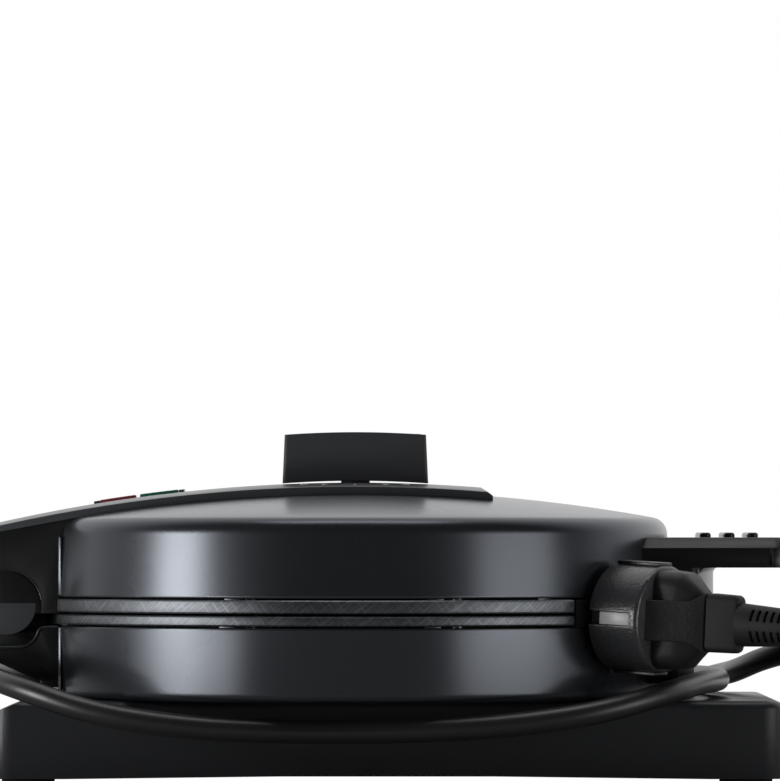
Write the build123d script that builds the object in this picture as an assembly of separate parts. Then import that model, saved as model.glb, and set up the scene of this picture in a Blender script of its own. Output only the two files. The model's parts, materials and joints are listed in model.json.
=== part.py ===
from build123d import *
import math
import os

# Heart waffle maker, closed and standing on its feet, with its mains cord wound round it and the plug
# parked on the body. Millimetres, +X towards the handle, +Y away from the viewer, +Z up.
# Everything is drawn about the axis of the round body and moved to the part's origin at the end.

# Round body
body_radius = 109.2
body_draft = 1.0
shell_wall = 2.2
foot_rounding = 2.5
shoulder_height = 3.9
shoulder_width = 3.5
dome_radius = 580.0

# Heights, stacked from the table up
foot_height = 2.3
base_height = 26.3
lower_wall_height = 24.9
rim_gap = 0.6
lower_rim_height = 3.4
plate_gap = 0.8
upper_rim_height = 4.5
lid_wall_height = 23.1

# Waffle plates
rim_overhang = 1.0
rim_edge = 0.5
heart_count = 5
divider_width = 3.0
lobe_share = 0.1923
lobe_overlap = 0.9
heart_tip_radius = 4.0
pocket_depth = 5.5
pocket_floor = 3.0
pocket_draft = 12.0
pad_size = 8.0
pad_pitch = 12.0
pad_height = 3.4
pad_margin = 2.6
bowl_wall = 3.5
drip_groove_width = 3.0
drip_groove_depth = 1.2
plate_screw_inset = 8.2
rim_tab_width = 5.5
plate_screw_angles = (70, 110, 250, 290)

# Heating elements and their reflectors
heater_ring_radius = 60.0
heater_tube_radius = 3.25
heater_bend_radius = 10.0
heater_lead_spacing = 16.0
heater_lead_end = 84.0
reflector_radius = 80.0
reflector_sheet = 0.8
reflector_gap = 0.3

# Terminals and thermal fuse on the floor of the lower shell
terminal_corner = (-86.0, 8.0)
terminal_size = (20.0, 24.0, 9.0)
terminal_bore = 2.0
fuse_place = (-76.0, -14.0)
fuse_radius = 2.5
fuse_length = 16.0

# Blocks on the two ends of the body
block_half_width = 42.0
block_side_gap = 0.6
seat_gap = 0.3
corner_rounding = 8.5

# Hinge
hinge_setback = 9.8
hinge_z = 60.6
hinge_reach = 10.0
boss_radius = 10.2
boss_groove_radius = 12.2
boss_groove_width = 0.9
boss_groove_depth = 0.8
lug_radius = 7.0
lug_half_width = 24.2
lug_back = 5.0
slot_half_width = 25.2
slot_height = 9.2
pin_radius = 2.5
pin_clearance = 0.05
pin_half_length = 38.0
washer_thickness = 0.6
washer_radius = 6.0
arm_underside = 57.8
ledge_drop = 14.5
step_inset = 1.4
step_radius = 6.3
ledge_thickness = 1.9
underside_inset = 0.8
underside_z = 34.9

# Control cover, the spine over the dome and the hinge arm
cover_half_width = 42.5
cover_thickness = 2.8
cover_top_radius = 560.0
cover_front = 47.2
cover_chamfer = 3.6
cover_slope = 0.182
cover_seat_run = 100.0
hub_clearance = 0.4

# Temperature knob and thermostat
knob_length = 50.5
knob_top_length = 49.0
knob_width = 15.0
knob_gap = 0.65
knob_end_gap = 0.3
knob_height = 16.8
knob_crown = 0.9
hub_radius = 5.0
hub_depth = 2.0
shaft_radius = 3.0
shaft_clearance = 0.06
shaft_in_knob = 10.0
thermostat_radius = 12.0
thermostat_height = 9.0
bracket_span = 54.0
bracket_width = 14.0
bracket_sheet = 1.2
bracket_foot = 8.0
bracket_rise = 6.0

# Indicator lamps in the control cover
lamp_front = -59.3
red_lens_length = 12.7
green_lens_length = 13.5
lens_width = 14.0
lens_gap = 1.1
lens_end = 2.0
lens_proud = 1.0
lens_depth = 4.6
lens_fit = 0.15
bezel_wall = 1.6
lamp_radius = 2.2
lamp_length = 11.0
holder_wall = 1.5

# Handle and the block below it on the lid, and the front block on the lower shell
handle_reach = 41.3
handle_half_width = 46.5
handle_underside = 73.4
handle_top = 83.7
handle_chamfer = 3.6
handle_rounding = 7.7
web_reach = 14.9
web_fillet = 2.0
web_rounding = 3.0
front_block_reach = 8.3
front_block_bottom = 34.0
grip_rib_reaches = (11.5, 19.7, 27.8)
grip_rib_width = 3.8
grip_rib_height = 1.7
grip_rib_length = 42.0

# Base
base_rear_reach = 13.8
base_front_reach = 35.8
base_half_depth = 76.0
base_wall = 2.6
base_top_wall = 3.0
base_corner = 7.5
base_edge = 3.0
base_slope_length = 11.0
base_slope_drop = 4.9
base_arch = 1.0
base_cover_recess = 1.6
base_cover_sheet = 2.2
base_cover_gap = 0.3
foot_radius = 9.0
foot_stem_radius = 3.0
foot_stem_length = 3.0
foot_inset = 12.5
cover_screw_inset = 28.0

# Screws
screw_gap = 0.1
screw_radius = 1.9
screw_head_radius = 3.4
screw_head_height = 1.8
boss_wall = 2.2
block_screw_y = 32.0
block_screw_length = 9.0
pad_depth = 2.0
body_screw_x = 60.0
body_screw_y = 40.0
body_boss_height = 7.0
plate_screw_length = 13.0

# Plug parking block in the gap between the plates
parking_angle = -36.5
parking_start = -47.6
parking_end = -21.5
parking_inner_radius = 90.0
parking_face = 1.5
parking_stem_depth = 13.0
parking_stem_wall = 9.0
pin_hole_clearance = 0.2

# Mains plug, drooping a little from the wall it is parked on
plug_z = 57.1
plug_tilt = 2.9
plug_standoff = 1.8
plug_disc_radius = 18.2
plug_disc_length = 20.0
plug_pin_radius = 2.4
plug_pin_length = 19.0
plug_pin_spacing = 19.0
plug_notch_width = 4.7
plug_notch_depth = 2.6
plug_notch_length = 16.9
plug_insert_start = 4.6
plug_insert_height = 4.2
plug_insert_length = 12.1
plug_insert_proud = 2.2
clip_width = 8.0
clip_sheet = 1.2
clip_proud = 0.9
clip_start = 1.5
clip_end = 18.5
grip_root = (27.0, 33.0)
grip_shoulder = (23.0, 32.4)
grip_waist = (10.5, 19.8)
grip_shoulder_length = 6.0
grip_length = 12.5
grip_recess_side = 5.5
grip_recess_height = 15.6
plug_tail_length = 18.0
relief_root_radius = 7.3
relief_end_radius = 5.6
relief_length = 30.0
relief_slot_depth = 1.1
relief_slot_width = 1.2
relief_slot_pitch = 2.7
relief_slot_start = 6.0
relief_slot_spread = (0.24, 0.78)
relief_slot_count = 7

# Mains cord, its outlet on the lower shell and its route from the outlet to the plug
cord_diameter = 8.0
cord_clearance = 0.1
cord_seat = 12.0
outlet_point = (-64.0, 98.5)
outlet_heading = 22.0
outlet_z = 38.5
outlet_height = 14.0
outlet_half_width = 7.6
outlet_back_angles = (143.0, 139.0)
outlet_back_reach = 2.6
outlet_sleeve_length = 30.0
outlet_sleeve_radius = 6.8
cord_route = [
    (-16.7, 117.6, 38.5), (22.0, 122.0, 31.5), (57.0, 113.5, 25.5), (90.0, 97.0, 28.8),
    (112.0, 71.0, 34.6), (122.5, 37.0, 34.6), (126.0, 2.0, 34.7), (124.5, -30.0, 34.8),
    (117.5, -59.0, 34.6), (105.0, -84.0, 31.4), (82.0, -97.5, 25.0), (50.0, -101.0, 20.6),
    (12.0, -101.0, 18.8), (-24.0, -100.5, 18.8), (-56.0, -98.5, 20.2), (-87.0, -97.0, 24.8),
    (-111.0, -87.0, 32.6), (-127.0, -64.0, 37.8), (-135.0, -34.0, 39.0), (-136.0, 4.0, 38.6),
    (-131.0, 42.0, 37.0), (-116.0, 75.0, 34.4), (-89.0, 97.0, 26.5), (-54.0, 106.0, 20.5),
    (-14.0, 113.0, 18.5), (24.0, 121.0, 18.2), (60.0, 125.5, 18.8), (94.0, 116.0, 23.0),
    (118.0, 93.0, 31.2), (131.0, 66.0, 35.2), (134.0, 40.0, 36.8), (143.0, 12.0, 42.0),
    (160.0, -10.0, 46.5), (188.5, -24.0, 44.0), (218.0, -35.5, 40.5), (234.4, -58.8, 39.0),
    (235.2, -87.5, 40.0), (220.6, -112.2, 43.5), (195.1, -125.5, 48.0), (166.5, -123.2, 52.2),
]

# Heights and radii that follow from the sizes above
base_bottom_z = foot_height
base_top_z = base_bottom_z + base_height
lower_edge_z = base_top_z + lower_wall_height
lower_rim_z = lower_edge_z + rim_gap
lower_face_z = lower_rim_z + lower_rim_height
upper_face_z = lower_face_z + plate_gap
upper_rim_z = upper_face_z + upper_rim_height
lid_edge_z = upper_rim_z + rim_gap
shoulder_z = lid_edge_z + lid_wall_height
dome_edge_z = shoulder_z + shoulder_height
shoulder_radius = body_radius - body_draft
dome_edge_radius = shoulder_radius - shoulder_width
dome_centre_z = dome_edge_z - math.sqrt(dome_radius**2 - dome_edge_radius**2)
dome_top_z = dome_centre_z + dome_radius
cover_top_z = dome_top_z + cover_thickness
cover_centre_z = cover_top_z - cover_top_radius
rim_radius = body_radius + rim_overhang
trim_radius = body_radius - seat_gap
lobe_radius = lobe_share * body_radius
plate_back = pocket_depth + pocket_floor
half_sector = math.radians(180 / heart_count)
lobe_y = lobe_overlap * lobe_radius
lobe_x = (divider_width / 2 + lobe_radius + lobe_y * math.cos(half_sector)) / math.sin(half_sector)
heart_reach = math.hypot(lobe_x, lobe_y) + lobe_radius
bowl_radius = heart_reach + bowl_wall
plate_screw_radius = body_radius - plate_screw_inset
hinge_x = -(body_radius + hinge_setback)
block_end_x = hinge_x - hinge_reach
step_x = -(body_radius - step_inset)
underside_x = -(body_radius - underside_inset)
handle_end = body_radius + handle_reach
base_rear = -(body_radius + base_rear_reach)
base_front = body_radius + base_front_reach
web_radius = body_radius + web_reach
front_block_radius = body_radius + front_block_reach
chord_x = math.sqrt(body_radius**2 - block_half_width**2)
knob_bottom_z = cover_top_z + knob_gap
knob_top_z = knob_bottom_z + knob_height
plug_tail_start = plug_disc_length + grip_length
plug_tail_end = plug_tail_start + plug_tail_length
relief_end = plug_tail_end + relief_length
end_screw_length = pad_depth + shell_wall + block_screw_length
body_boss_top = base_top_z + shell_wall + body_boss_height
origin_x = (block_end_x + handle_end) / 2


def upright(radius, low, high, x=0.0, y=0.0):
    """Upright cylinder between two heights."""
    return Pos(x, y, low) * Cylinder(radius, high - low, align=(Align.CENTER, Align.CENTER, Align.MIN))


def block(x, y, z):
    """Box between two places along each axis."""
    size = (x[1] - x[0], y[1] - y[0], z[1] - z[0])
    return Pos(x[0], y[0], z[0]) * Box(*size, align=(Align.MIN, Align.MIN, Align.MIN))


def turned(*points):
    """Solid turned about Z from an outline of radius and height."""
    return revolve(make_face(Polyline(*[(r, 0, z) for r, z in points], close=True)), Axis.Z)


def side_cut(points, half_width):
    """Outline in X and Z carried the same distance to both sides."""
    outline = make_face(Polyline(*[(x, 0, z) for x, z in points], close=True))
    return extrude(outline, amount=half_width, dir=(0, 1, 0), both=True)


def plan_cut(points, low, high):
    """Outline in X and Y carried up between two heights."""
    outline = make_face(Polyline(*[(x, y, low) for x, y in points], close=True))
    return extrude(outline, amount=high - low, dir=(0, 0, 1))


def ball(radius, centre_z):
    """Sphere on the body's axis, its poles turned to the sides, where nothing is cut from it."""
    return Pos(0, 0, centre_z) * Rot(90, 0, 0) * Sphere(radius)


def along(point, direction):
    """Plane at a point whose normal is the direction."""
    return Plane(origin=point, z_dir=direction)


def screw(length):
    """Screw whose head rests on z = 0 and whose shank goes down."""
    return upright(screw_head_radius, 0, screw_head_height) + upright(screw_radius, -length, 0)


def screw_hole(length):
    """Room for the shank of a screw."""
    return upright(screw_radius + screw_gap, -length - screw_gap, screw_gap)


def lid_form(inset, bottom):
    """The lid's outer form, drawn in by a wall's thickness."""
    edge = shoulder_radius - shoulder_width - inset
    top_radius = dome_radius - inset
    high = dome_centre_z + math.sqrt(top_radius**2 - edge**2)
    half = math.asin(edge / top_radius) / 2
    middle = (top_radius * math.sin(half), 0, dome_centre_z + top_radius * math.cos(half))
    points = [
        (0, 0, dome_centre_z + top_radius), (0, 0, bottom), (body_radius - inset, 0, bottom),
        (body_radius - inset, 0, lid_edge_z), (shoulder_radius - inset, 0, high - shoulder_height),
        (edge, 0, high),
    ]
    outline = Polyline(*dict.fromkeys(points))
    crown = ThreePointArc((edge, 0, high), middle, (0, 0, dome_centre_z + top_radius))
    return revolve(make_face(outline + crown), Axis.Z)


def lower_form(inset, top):
    """The lower shell's outer form, drawn in by a wall's thickness."""
    foot = shoulder_radius - inset
    floor = base_top_z + inset
    round_x, round_z = foot - foot_rounding, floor + foot_rounding
    half = foot_rounding * math.sqrt(0.5)
    corner = ThreePointArc((round_x, 0, floor), (round_x + half, 0, round_z - half), (foot, 0, round_z))
    points = [
        (foot, 0, round_z), (body_radius - inset, 0, lower_edge_z), (body_radius - inset, 0, top),
        (0, 0, top), (0, 0, floor), (round_x, 0, floor),
    ]
    return revolve(make_face(Polyline(*dict.fromkeys(points)) + corner), Axis.Z)


def block_screws():
    """Places of the screws that hold the end blocks: end of the body, side and height."""
    low = base_top_z + lower_wall_height / 2 + pad_depth
    lid_low = (arm_underside + handle_underside) / 2 + pad_depth
    lid_high = (handle_underside + handle_top) / 2
    rows = {"lower": (low,), "lid": (lid_low, lid_high)}
    return {
        name: [(end, y, z) for end in (-1, 1) for y in (-block_screw_y, block_screw_y) for z in heights]
        for name, heights in rows.items()
    }


def block_screw_place(end, y, z):
    """Where a block screw's head rests, with its shank pointing out of the body."""
    inside = math.sqrt((body_radius - shell_wall) ** 2 - (block_screw_y + boss_wall * 2) ** 2) - pad_depth
    return Location(Plane(origin=(end * inside, y, z), z_dir=(-end, 0, 0)))


def block_screw_holes(half):
    """Holes for one half's block screws, cut alike in the shell and in the blocks."""
    return [block_screw_place(*spot) * screw_hole(end_screw_length) for spot in block_screws()[half]]


def screw_pads(half, form):
    """Flat pads inside a shell, on which the heads of the block screws rest."""
    pads = []
    for end, y, z in block_screws()[half]:
        start = block_screw_place(end, y, z).position.X
        reach = (block_screw_y + boss_wall * 2) - block_screw_y
        x = sorted((start, end * body_radius))
        pads.append(block(x, (y - reach, y + reach), (z - reach, z + reach)) & form)
    return pads


def rim_tabs(angles, low, high):
    """Small tabs on a shell's edge, which the rim of its plate rests on."""
    reach = (body_radius - shell_wall + rim_edge, body_radius - rim_edge)
    half = rim_tab_width / 2
    return [Rot(0, 0, a) * block(reach, (-half, half), (low, high)) for a in angles]


def plate_bosses(low, high, form):
    """Bosses inside a shell that take the plate's screws."""
    spots = [polar(plate_screw_radius, a) for a in plate_screw_angles]
    return [upright(screw_radius + boss_wall, low, high, x, y) & form for x, y in spots]


def polar(radius, degrees):
    """Point at a radius and an angle round the body."""
    return radius * math.cos(math.radians(degrees)), radius * math.sin(math.radians(degrees))


def lower_shell():
    shell = lower_form(0, lower_edge_z) - lower_form(shell_wall, lower_edge_z + 1)
    shell += plate_bosses(base_top_z + shell_wall / 2, lower_rim_z, lower_form(0, lower_rim_z))
    shell += screw_pads("lower", lower_form(0, lower_edge_z))
    shell += rim_tabs((-113, -76, 76, 113), lower_edge_z, lower_rim_z)
    for x, y in body_screw_spots():
        shell += upright(screw_radius + boss_wall, base_top_z, body_boss_top, x, y)
        shell -= upright(screw_radius + screw_gap, base_top_z - 1, body_boss_top - 1, x, y)
    shell -= block_screw_holes("lower")
    shell -= plate_screw_holes(lower_place())
    shell -= cord_bore()
    return shell


def lid_shell():
    shell = lid_form(0, lid_edge_z) - lid_form(shell_wall, lid_edge_z - 1)
    shell += plate_bosses(upper_rim_z, dome_top_z, lid_form(0, upper_rim_z))
    shell += screw_pads("lid", lid_form(0, lid_edge_z))
    shell += rim_tabs((-112, -75.5, -54, 54, 75.5, 112), upper_rim_z, lid_edge_z)
    shell -= block_screw_holes("lid")
    shell -= plate_screw_holes(upper_place())
    shell -= upright(shaft_radius + hub_clearance, upper_rim_z, cover_top_z)
    shell -= lamp_well(0)
    shell -= cover_screw_holes()
    return shell


def heart():
    """One heart, its tip towards the middle of the plate."""
    normal = (math.sin(half_sector), -math.cos(half_sector))
    tip = (divider_width / 2 / math.sin(half_sector), 0)
    touch = (lobe_x - lobe_radius * normal[0], lobe_y - lobe_radius * normal[1])
    cleft = (lobe_x + math.sqrt(lobe_radius**2 - lobe_y**2), 0)
    start = math.pi / 2 + half_sector
    finish = -math.asin(lobe_y / lobe_radius)
    middle = (start + finish) / 2
    far = (lobe_x + lobe_radius * math.cos(middle), lobe_y + lobe_radius * math.sin(middle))
    half = Line(tip, touch) + ThreePointArc(touch, far, cleft)
    face = make_face(half + mirror(half, Plane.XZ))
    return fillet(face.vertices().sort_by(Axis.X)[0], heart_tip_radius)


def heart_pads():
    """Square pads on the floor of one heart, cut off along its outline."""
    field = offset(heart(), amount=-pad_margin)
    pads = []
    for row in range(int(heart_reach / pad_pitch) + 1):
        for column in range(-4, 5):
            square = Pos((row + 0.75) * pad_pitch, column * pad_pitch) * Rectangle(pad_size, pad_size)
            pads += [face for face in (square & field).faces() if face.area > pad_size**2 / 4]
    return pads


def plate_blank():
    """A waffle plate with its cooking face on z = 0 and its back below."""
    groove = bowl_radius + 1
    rim_back = -lower_rim_height
    blank = turned(
        (0, 0), (groove, 0), (groove + rim_edge, -drip_groove_depth),
        (groove + drip_groove_width - rim_edge, -drip_groove_depth), (groove + drip_groove_width, 0),
        (rim_radius - rim_edge, 0), (rim_radius, -rim_edge), (rim_radius, rim_back + rim_edge),
        (rim_radius - rim_edge, rim_back), (groove, rim_back), (bowl_radius, -plate_back), (0, -plate_back),
    )
    pocket = extrude(heart(), amount=-pocket_depth, taper=pocket_draft)
    floor = Pos(0, 0, -pocket_depth)
    pads = [extrude(floor * pad, amount=pad_height, taper=pocket_draft) for pad in heart_pads()]
    for turn in range(heart_count):
        around = Rot(0, 0, 360 / heart_count * turn)
        blank -= around * pocket
        blank += [around * pad for pad in pads]
    return blank


def lower_place():
    return Location((0, 0, lower_face_z))


def upper_place():
    return Location((0, 0, upper_face_z), (180, 0, 0))


def plate_screw_spots(place):
    """Places of a plate's screws, their heads sunk under the cooking face."""
    depth = screw_head_height + screw_gap
    return [place * Pos(*polar(plate_screw_radius, a), -depth) for a in plate_screw_angles]


def plate_screw_holes(place):
    return [spot * screw_hole(plate_screw_length) for spot in plate_screw_spots(place)]


def plate_screws(place):
    return [spot * screw(plate_screw_length) for spot in plate_screw_spots(place)]


def end_room():
    """Room for the blocks on the ends of the body, outside the plates' trimmed rims."""
    reach = block_half_width + block_side_gap
    length = handle_end
    return block((-length, length), (-reach, reach), (base_top_z, dome_top_z)) - upright(
        trim_radius, base_top_z - 1, dome_top_z + 1
    )


def parking_room(gap):
    """Sector of the plates' rims that the plug parking block takes up, widened by a gap."""
    spread = math.degrees(gap / parking_inner_radius)
    reach = 2 * body_radius
    first, last = polar(reach, parking_start - spread), polar(reach, parking_end + spread)
    wedge = plan_cut([(0, 0), first, last], base_top_z, dome_top_z)
    return wedge - upright(parking_inner_radius - gap, base_top_z - 1, dome_top_z + 1)


def waffle_plate(place, extra_rim):
    """One plate in its place. The upper one has a deeper rim."""
    plate = plate_blank()
    if extra_rim > 0:
        back = -lower_rim_height
        plate += turned(
            (bowl_radius, back), (rim_radius - rim_edge, back), (rim_radius, back + rim_edge),
            (rim_radius, back - extra_rim + rim_edge), (rim_radius - rim_edge, back - extra_rim),
            (bowl_radius, back - extra_rim),
        )
    sink = upright(screw_head_radius + screw_gap, -screw_head_height - screw_gap, 1)
    plate -= [Pos(*polar(plate_screw_radius, a), 0) * sink for a in plate_screw_angles]
    plate = place * plate - plate_screw_holes(place)
    return plate - end_room() - parking_room(seat_gap)


def heater_path():
    """Open ring with its two leads bent out towards the hinge."""
    lead_y = heater_lead_spacing / 2
    reach = heater_ring_radius + heater_bend_radius
    centre_y = lead_y + heater_bend_radius
    bend_x = -math.sqrt(reach**2 - centre_y**2)
    turn = 90 - math.degrees(math.asin(centre_y / reach))
    opening = math.degrees(math.asin(centre_y / reach))
    lead = Line((-heater_lead_end, lead_y), (bend_x, lead_y))
    first = JernArc(start=lead @ 1, tangent=lead % 1, radius=heater_bend_radius, arc_size=turn)
    ring = JernArc(
        start=first @ 1, tangent=first % 1, radius=heater_ring_radius, arc_size=-(360 - 2 * opening)
    )
    last = JernArc(start=ring @ 1, tangent=ring % 1, radius=heater_bend_radius, arc_size=turn)
    return lead + first + ring + last + Line(last @ 1, (-heater_lead_end, -lead_y))


def heating_element(place):
    """Tubular element lying on the back of its plate."""
    path = place * Pos(0, 0, -plate_back - heater_tube_radius) * heater_path()
    return sweep(along(path @ 0, path % 0) * Circle(heater_tube_radius), path=path)


def heat_reflector(place):
    """Sheet pan over the element, open where the two leads come out."""
    depth = 2 * heater_tube_radius + reflector_gap
    low = -plate_back - depth - reflector_sheet
    outer = upright(reflector_radius, low, -plate_back)
    pan = outer - upright(reflector_radius - reflector_sheet, low + reflector_sheet, -plate_back + 1)
    half = heater_lead_spacing / 2 + heater_tube_radius + 1
    edge = (-reflector_radius - 1, -reflector_radius + 3)
    window = block(edge, (-half, half), (low + reflector_sheet, 0))
    return place * (pan - window)


def rear_plan(low, high, half_width):
    """Plan of the blocks over the hinge, rounded at the two rear corners."""
    plan = block((block_end_x, -chord_x + 20), (-half_width, half_width), (low, high))
    corners = plan.edges().filter_by(Axis.Z).group_by(Axis.X)[0]
    return fillet(corners, corner_rounding)


def below_cover():
    """Everything under the sloping seat of the control cover, behind the dome."""
    seat_x = -math.sqrt(dome_edge_radius**2 - cover_half_width**2)
    far = seat_x - cover_seat_run
    return side_cut(
        [(seat_x, dome_edge_z), (far, dome_edge_z - cover_slope * (seat_x - far)), (far, 0), (seat_x, 0)],
        2 * cover_half_width,
    )


def hinge_axis():
    return Location(Plane(origin=(hinge_x, 0, hinge_z), z_dir=(0, 1, 0)))


def hinge_arm():
    """Rear block of the lid with the two hinge cheeks."""
    arm = rear_plan(arm_underside, dome_top_z, block_half_width) & below_cover()
    boss = hinge_axis()
    arm += boss * Cylinder(boss_radius, 2 * block_half_width) & rear_plan(0, dome_top_z, block_half_width)
    arm -= lid_form(0, arm_underside - 1)
    arm -= block(
        (block_end_x - 1, -body_radius + lug_radius), (-slot_half_width, slot_half_width),
        (hinge_z - 2 * boss_radius, hinge_z + slot_height),
    )
    arm -= boss * Cylinder(pin_radius + pin_clearance, 2 * (pin_half_length + pin_clearance))
    for side in (-1, 1):
        groove = Cylinder(boss_groove_radius, boss_groove_depth) - Cylinder(
            boss_groove_radius - boss_groove_width, boss_groove_depth
        )
        arm -= Pos(0, side * (block_half_width - boss_groove_depth / 2), 0) * boss * groove
    return arm - block_screw_holes("lid")


def lower_hinge_block():
    """Rear block of the lower shell: a ledge under the hinge and the lug that carries the pin."""
    top = lower_edge_z - 0.4
    ledge = hinge_z - ledge_drop
    outline = make_face(Polyline(
        (-chord_x + 8, 0, top), (step_x, 0, top), (step_x, 0, ledge), (block_end_x, 0, ledge),
        (block_end_x, 0, ledge - ledge_thickness), (underside_x, 0, underside_z),
        (-chord_x + 8, 0, underside_z), close=True,
    ))
    inner = outline.vertices().sort_by_distance((step_x, 0, ledge))[0]
    body = extrude(fillet(inner, step_radius), amount=block_half_width, dir=(0, 1, 0), both=True)
    width = (-lug_half_width, lug_half_width)
    body += block((hinge_x, step_x + 1), width, (ledge - 1, top))
    body &= rear_plan(0, dome_top_z, block_half_width)
    body -= lower_form(0, lower_edge_z + 1)
    axis = hinge_axis()
    neck = block((hinge_x - lug_back, hinge_x + lug_radius), width, (ledge - 1, hinge_z))
    body += neck + axis * Cylinder(lug_radius, 2 * lug_half_width)
    body -= axis * Cylinder(pin_radius + pin_clearance / 2, 2 * block_half_width)
    return body - block_screw_holes("lower")


def hinge_pin():
    return hinge_axis() * Cylinder(pin_radius, 2 * pin_half_length)


def hinge_washers():
    """Thin washers between the lug and the two cheeks."""
    ring = Cylinder(washer_radius, washer_thickness)
    ring -= Cylinder(pin_radius + pin_clearance, washer_thickness)
    middle = (lug_half_width + slot_half_width) / 2
    return [Pos(0, side * middle, 0) * hinge_axis() * ring for side in (-1, 1)]


def cover_screw_spots():
    """Screws that hold the control cover from inside the lid."""
    return [(x, y) for x in (-45.0, 30.0) for y in (-28.0, 28.0)]


def cover_screw_place(x, y):
    """Just under the dome, with the shank pointing up."""
    far = math.hypot(x, y) + screw_head_radius
    under = dome_centre_z + math.sqrt((dome_radius - shell_wall) ** 2 - far**2)
    return Location((x, y, under), (180, 0, 0))


def cover_screw_holes():
    length = shell_wall + cover_thickness / 2
    return [cover_screw_place(x, y) * screw_hole(length) for x, y in cover_screw_spots()]


def control_cover():
    """Spine over the dome and the hinge arm, with a spherical top."""
    width = (-cover_half_width, cover_half_width)
    cover = block((block_end_x, cover_front), width, (lid_edge_z, cover_top_z + 5))
    corners = cover.edges().filter_by(Axis.Z).group_by(Axis.X)[0]
    cover = fillet(corners, corner_rounding) & ball(cover_top_radius, cover_centre_z)
    edge_z = cover_centre_z + math.sqrt(cover_top_radius**2 - cover_front**2)
    cover -= side_cut(
        [
            (cover_front - cover_chamfer, edge_z + 1), (cover_front - cover_chamfer, edge_z),
            (cover_front, edge_z - cover_thickness), (cover_front + 5, edge_z - cover_thickness),
            (cover_front + 5, edge_z + 1),
        ],
        2 * cover_half_width,
    )
    cover -= lid_form(0, lid_edge_z - 1)
    cover -= below_cover()
    cover -= upright(hub_radius + hub_clearance, dome_edge_z, cover_top_z + 1)
    cover -= lamp_well(0)
    cover -= cover_screw_holes()
    return cover.solids().sort_by(SortBy.VOLUME)[-1]


def lamp_length_total():
    return 2 * lens_end + red_lens_length + green_lens_length + lens_gap


def lamp_span():
    """Ends along X of the red lens and of the green lens."""
    green = (lamp_front - lens_end - green_lens_length, lamp_front - lens_end)
    red = (green[0] - lens_gap - red_lens_length, green[0] - lens_gap)
    return red, green


def lamp_prism(x, half_width, reach):
    """Upright prism over a stretch of the cover."""
    return block((x[0] - reach, x[1] + reach), (-half_width, half_width), (lid_edge_z, cover_top_z + 5))


def lamp_well(gap):
    """Opening in the cover and the dome that takes the lamp bezel."""
    ends = (lamp_front - lamp_length_total(), lamp_front)
    return lamp_prism(ends, lens_width / 2 + bezel_wall, gap)


def cover_layer(low, high):
    """Shell between two distances from the cover's top surface."""
    return ball(cover_top_radius + high, cover_centre_z) - ball(cover_top_radius + low, cover_centre_z)


def lamp_bezel():
    """Frame of the two lenses, flush at its sides and standing up at its two ends."""
    frame = lamp_well(-lens_fit / 2) & cover_layer(-lens_depth, 0)
    ends = (lamp_front - lamp_length_total(), lamp_front)
    for low in (ends[0], ends[1] - lens_end):
        stop = lamp_prism((low, low + lens_end), lens_width / 2, -lens_fit / 2)
        frame += stop & cover_layer(-lens_depth, lens_proud - lens_fit)
    for x in lamp_span():
        frame -= lamp_prism(x, lens_width / 2, 0)
    return frame


def lens(x):
    return lamp_prism(x, lens_width / 2 - lens_fit, -lens_fit) & cover_layer(-lens_depth, lens_proud)


def lamp_holder():
    """Tray under the dome that holds the two lamps against their lenses."""
    red, green = lamp_span()
    half = lens_width / 2 + bezel_wall
    ends = (lamp_front - lamp_length_total(), lamp_front)
    top = cover_layer(-lens_depth - 2 * lamp_radius - 2 * holder_wall, -lens_depth - lens_fit)
    tray = lamp_prism(ends, half, -lens_fit) & top
    well = cover_layer(-lens_depth - 2 * lamp_radius - holder_wall, 1)
    for x in (red, green):
        tray -= lamp_prism(x, lens_width / 2 - holder_wall, -holder_wall) & well
    return tray


def indicator_lamps():
    """Two neon lamps lying across under the lenses."""
    lamps = []
    reach = cover_top_radius - lens_depth - lamp_radius - lens_fit
    for x in lamp_span():
        middle = sum(x) / 2
        height = cover_centre_z + math.sqrt(reach**2 - middle**2) - holder_wall / 2
        place = Location(Plane(origin=(middle, 0, height), z_dir=(0, 1, 0)))
        lamps.append(place * Cylinder(lamp_radius, lamp_length))
    return lamps


def temperature_knob():
    """Bar knob with an arched underside that follows the cover."""
    half, top_half = knob_length / 2, knob_top_length / 2
    corner_z = cover_centre_z + math.sqrt((cover_top_radius + knob_end_gap) ** 2 - half**2)
    crown_z = knob_top_z - knob_crown
    outline = (
        Line((half, 0, corner_z), (top_half, 0, crown_z))
        + ThreePointArc((top_half, 0, crown_z), (0, 0, knob_top_z), (-top_half, 0, crown_z))
        + Line((-top_half, 0, crown_z), (-half, 0, corner_z))
        + ThreePointArc((-half, 0, corner_z), (0, 0, knob_bottom_z), (half, 0, corner_z))
    )
    bar = extrude(make_face(outline), amount=knob_width / 2, dir=(0, 1, 0), both=True)
    ends = bar.edges().filter_by(
        lambda e: abs(e.center().X) > top_half - 1 and e.length > knob_height / 2
        and abs(e.center().Y) > knob_width / 4
    )
    bar = fillet(ends, 1.2) + upright(hub_radius, cover_top_z - hub_depth, knob_bottom_z + 2)
    bore = shaft_radius + shaft_clearance
    return bar - upright(bore, cover_top_z - hub_depth - 1, knob_bottom_z + shaft_in_knob)


def thermostat_levels():
    """Heights of the bracket's feet, of its table and of the thermostat's top."""
    feet = upper_face_z + plate_back + 2 * heater_tube_radius + reflector_gap + reflector_sheet
    table = feet + bracket_rise
    return feet, table, table + bracket_sheet + thermostat_height


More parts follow.
